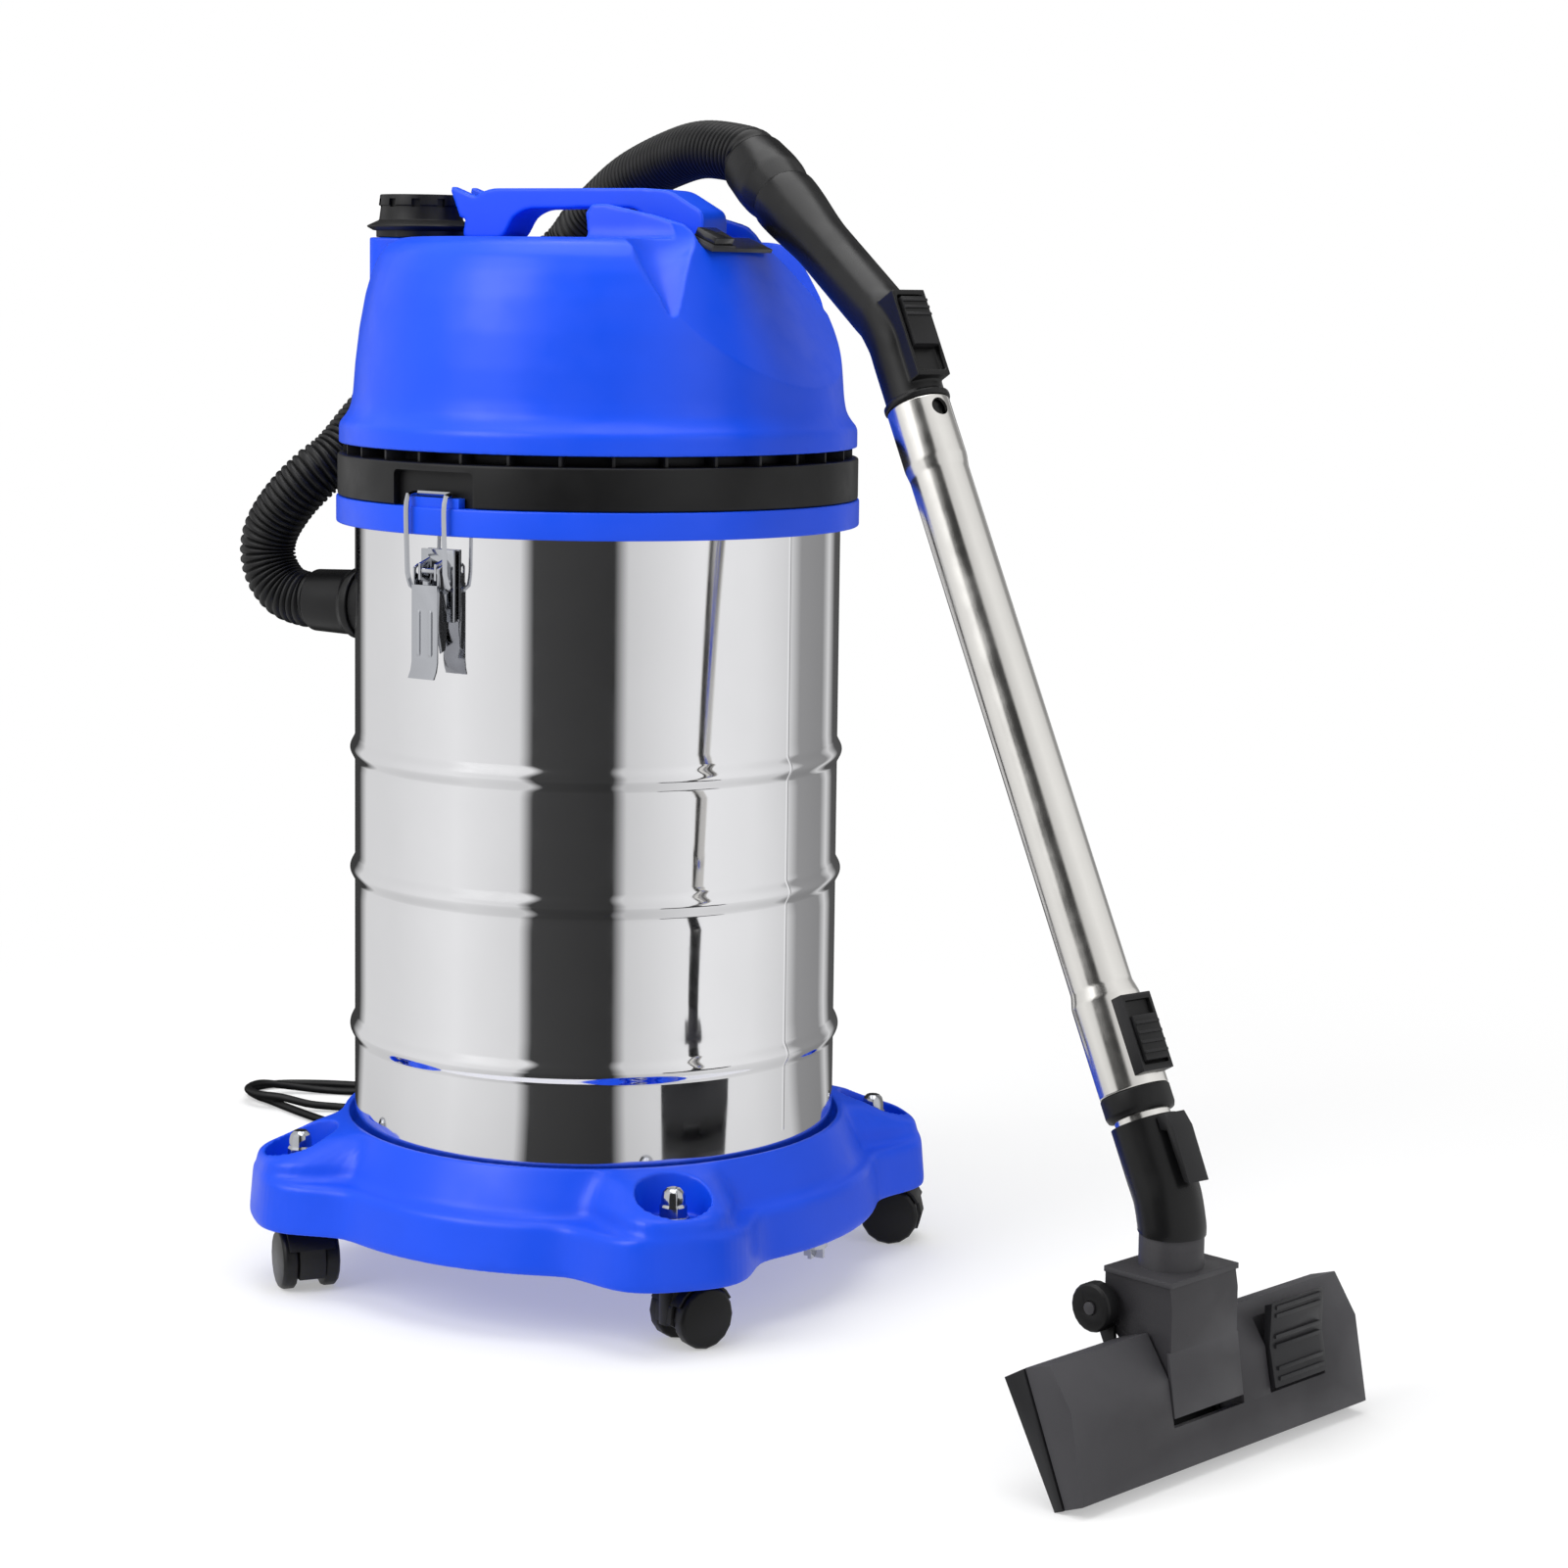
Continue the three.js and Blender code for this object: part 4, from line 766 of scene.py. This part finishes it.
def elbow():
    """The bent piece from the nozzle's collar into the wand's line."""
    axis = Vector((0, math.sin(rad(WAND_LEAN)), math.cos(rad(WAND_LEAN))))
    way = [(0, 0, -12.7), (0, 0, -8), *[tuple(axis * s) for s in (9, 26, 50, 56)]]
    outside = sweep(catmull(way, 0.4, 60), 20.6, 96)
    bore = sweep(catmull([(0, 0, -20), *way[1:-1], tuple(axis * 70)], 0.4, 50), 18.4, 64)
    skirt = block(-40, 40, -40, 40, -60, -12.7)
    whole = moved_mesh(cut(outside, bore, skirt), UPRIGHT)
    piece("elbow_shell", whole, "lower_wand", SATIN, ["elbow"], 30)


wand_handle()
wand_tubes()
cuffs()
elbow()


# ---- CAD nodes that stay: their own shape with rounded edges and a finished surface ----
def shading_group():
    """Smooth shading with sharp edges kept above an angle, as a modifier."""
    group = bpy.data.node_groups.new("shade_by_angle", "GeometryNodeTree")
    group.interface.new_socket("Geometry", in_out="INPUT", socket_type="NodeSocketGeometry")
    group.interface.new_socket("Geometry", in_out="OUTPUT", socket_type="NodeSocketGeometry")
    nodes, links = group.nodes, group.links
    source, target = nodes.new("NodeGroupInput"), nodes.new("NodeGroupOutput")
    faces, edges = nodes.new("GeometryNodeSetShadeSmooth"), nodes.new("GeometryNodeSetShadeSmooth")
    faces.domain, edges.domain = "FACE", "EDGE"
    bare = nodes.new("GeometryNodeRemoveAttribute")
    bare.inputs["Name"].default_value = "custom_normal"
    angle, flat = nodes.new("GeometryNodeInputMeshEdgeAngle"), nodes.new("FunctionNodeCompare")
    flat.operation = "LESS_THAN"
    flat.inputs["B"].default_value = rad(32)
    links.new(source.outputs[0], bare.inputs["Geometry"])
    links.new(bare.outputs["Geometry"], faces.inputs["Geometry"])
    links.new(faces.outputs["Geometry"], edges.inputs["Geometry"])
    links.new(angle.outputs["Unsigned Angle"], flat.inputs["A"])
    links.new(flat.outputs["Result"], edges.inputs["Shade Smooth"])
    links.new(edges.outputs["Geometry"], target.inputs[0])
    return group


SHADING = shading_group()


def finished(node, material, bevel):
    """A CAD node as it is, with rounded edges and its material."""
    ob = frame["nodes"][node]
    for held in ob.material_slots:
        held.material = material
    weld = ob.modifiers.new("weld", "WELD")
    weld.merge_threshold = 0.00002
    if bevel:
        flat = ob.modifiers.new("flat", "DECIMATE")
        flat.decimate_type, flat.angle_limit = "DISSOLVE", rad(1.0)
        edge = ob.modifiers.new("edges", "BEVEL")
        edge.width, edge.segments, edge.limit_method, edge.angle_limit = bevel * MM, 2, "ANGLE", rad(28)
    shade = ob.modifiers.new("shade", "NODES")
    shade.node_group = SHADING


# Each row: the material, the rounding of the edges in millimetres, and the nodes
KEPT = [(CHROME, 0.4, ["latch_bracket_1", "latch_bracket_2", "latch_lever_1", "latch_lever_2"]),
        (CHROME, 0.4, ["castor_bolt_1", "castor_bolt_2", "castor_bolt_3", "castor_bolt_4", "drain_plug"]),
        (CHROME, 0.0, ["latch_bail_1", "latch_bail_2"]),
        (BLACK, 0.6, ["castor_hood_1", "castor_hood_2", "castor_hood_3", "castor_hood_4", "inlet_socket"]),
        (RUBBER, 0.8, ["castor_wheel_1", "castor_wheel_2", "castor_wheel_3", "castor_wheel_4"]),
        (PANEL, 0.5, ["switch_panel"]),
        (ROCKER, 0.6, ["rocker_switch"]),
        (BLACK, 0.4, ["vent_ring", "suction_slider", "button_housing", "telescope_button",
                      "parking_clip", "fan_housing", "mains_plug", "nozzle_sole", "nozzle_pedal",
                      "roller_1", "roller_2"]),
        (CHARCOAL, 0.9, ["nozzle_cover", "nozzle_hood"]),
        (RUBBER, 0.4, ["cord_gland", "brush_strip"]),
        (CASTING, 0.6, ["motor", "impeller"]),
        (CLOTH, 0.3, ["filter"])]
for kept_material, kept_bevel, names in KEPT:
    for kept_name in names:
        finished(kept_name, kept_material, kept_bevel)


# ---- Studio ----
def stage_mesh(name, shape, material):
    mesh = to_mesh(shape, name)
    mesh.materials.append(material)
    ob = bpy.data.objects.new(name, mesh)
    bpy.context.scene.collection.objects.link(ob)
    return ob


def floor():
    """A pale floor that takes soft shadows near the object and fades to plain white further out."""
    mat = bpy.data.materials.new("studio_floor")
    mat.use_nodes = True
    nodes, links = mat.node_tree.nodes, mat.node_tree.links
    shader = nodes["Principled BSDF"]
    shader.inputs["Base Color"].default_value = (0.93, 0.93, 0.93, 1)
    shader.inputs["Roughness"].default_value = 0.9
    shader.inputs["Specular IOR Level"].default_value = 0.1
    glow, blend = nodes.new("ShaderNodeEmission"), nodes.new("ShaderNodeMixShader")
    glow.inputs["Color"].default_value = (1, 1, 1, 1)
    place, reach = nodes.new("ShaderNodeTexCoord"), nodes.new("ShaderNodeVectorMath")
    reach.operation = "LENGTH"
    fade = nodes.new("ShaderNodeMapRange")
    fade.interpolation_type = "SMOOTHSTEP"
    fade.inputs["From Min"].default_value, fade.inputs["From Max"].default_value = 0.45, 1.3
    fade.inputs["To Min"].default_value = 0.35
    links.new(place.outputs["Object"], reach.inputs[0])
    links.new(reach.outputs["Value"], fade.inputs["Value"])
    links.new(fade.outputs["Result"], blend.inputs["Fac"])
    links.new(shader.outputs["BSDF"], blend.inputs[1])
    links.new(glow.outputs["Emission"], blend.inputs[2])
    links.new(blend.outputs["Shader"], nodes["Material Output"].inputs["Surface"])
    half = 30.0
    corners = np.array([(-half, -half, 0), (half, -half, 0), (half, half, 0), (-half, half, 0)])
    stage_mesh("studio_floor", (corners, [(0, 1, 2, 3)]), mat)


# Studio walls that only reflections see: angle from the camera's side, and how bright the wall is there
WALLS = [(-180, 0.05), (-140, 0.05), (-128, 0.80), (-100, 0.85), (-60, 1.0), (-30, 0.85), (-24, 0.06),
         (10, 0.04), (16, 0.75), (50, 1.0), (76, 0.95), (98, 0.80), (106, 0.35), (128, 0.30), (136, 0.75),
         (146, 0.10), (180, 0.05)]


def walls():
    """A bright and dark cylinder round the object, with a strip of floor, for the metal to reflect."""
    mat = bpy.data.materials.new("studio_walls")
    mat.use_nodes = True
    nodes, links = mat.node_tree.nodes, mat.node_tree.links
    nodes.remove(nodes["Principled BSDF"])
    glow, level = nodes.new("ShaderNodeEmission"), nodes.new("ShaderNodeAttribute")
    level.attribute_name = "level"
    links.new(level.outputs["Fac"], glow.inputs["Strength"])
    links.new(glow.outputs["Emission"], nodes["Material Output"].inputs["Surface"])
    count, radius, facing = 360, 1.0, -62.5
    pts, faces, levels = [], [], []
    angles, values = [a for a, v in WALLS], [v for a, v in WALLS]
    for row, (reach, z) in enumerate([(0.26, 0.001), (radius, 0.001), (radius, 1.9)]):
        for i in range(count):
            off = -180 + 360 * i / count
            a = rad(facing + off)
            pts.append((reach * math.sin(a), -reach * math.cos(a), z))
            levels.append(float(np.interp(off, angles, values)) * (0.8 if row == 0 else 1.0))
            if row:
                j, k = count * (row - 1) + i, count * (row - 1) + (i + 1) % count
                faces.append((j, k, k + count, j + count))
    ob = stage_mesh("studio_walls", (np.array(pts), faces), mat)
    ob.data.attributes.new("level", "FLOAT", "POINT").data.foreach_set("value", levels)
    ob.visible_camera = ob.visible_diffuse = ob.visible_shadow = ob.visible_transmission = False


def area(name, place, target, size, power):
    data = bpy.data.lights.new(name, "AREA")
    data.shape, data.size, data.size_y, data.energy = "RECTANGLE", size[0], size[1], power
    ob = bpy.data.objects.new(name, data)
    ob.location = place
    ob.rotation_mode = "QUATERNION"
    ob.rotation_quaternion = (Vector(target) - Vector(place)).to_track_quat("-Z", "Y")
    bpy.context.scene.collection.objects.link(ob)
    ob.visible_camera = False


def world():
    """Soft light from all round, and plain white where the camera sees past the floor."""
    w = bpy.data.worlds.new("studio")
    w.use_nodes = True
    nodes, links = w.node_tree.nodes, w.node_tree.links
    light = nodes["Background"]
    light.inputs["Color"].default_value = (1, 1, 1, 1)
    light.inputs["Strength"].default_value = 0.55
    sky, seen = nodes.new("ShaderNodeBackground"), nodes.new("ShaderNodeLightPath")
    blend = nodes.new("ShaderNodeMixShader")
    sky.inputs["Color"].default_value = (1, 1, 1, 1)
    links.new(seen.outputs["Is Camera Ray"], blend.inputs["Fac"])
    links.new(light.outputs["Background"], blend.inputs[1])
    links.new(sky.outputs["Background"], blend.inputs[2])
    links.new(blend.outputs["Shader"], nodes["World Output"].inputs["Surface"])
    bpy.context.scene.world = w


floor()
walls()
world()
area("key_light", (-2.1, 0.9, 1.9), (0, 0, 0.45), (1.5, 1.6), 42)
area("fill_light", (-0.5, -2.6, 1.5), (0, -0.1, 0.5), (1.4, 1.6), 9)
area("top_light", (0, 0, 2.7), (0, 0, 0.5), (2.4, 2.4), 44)
bpy.context.scene.view_settings.view_transform = "Standard"
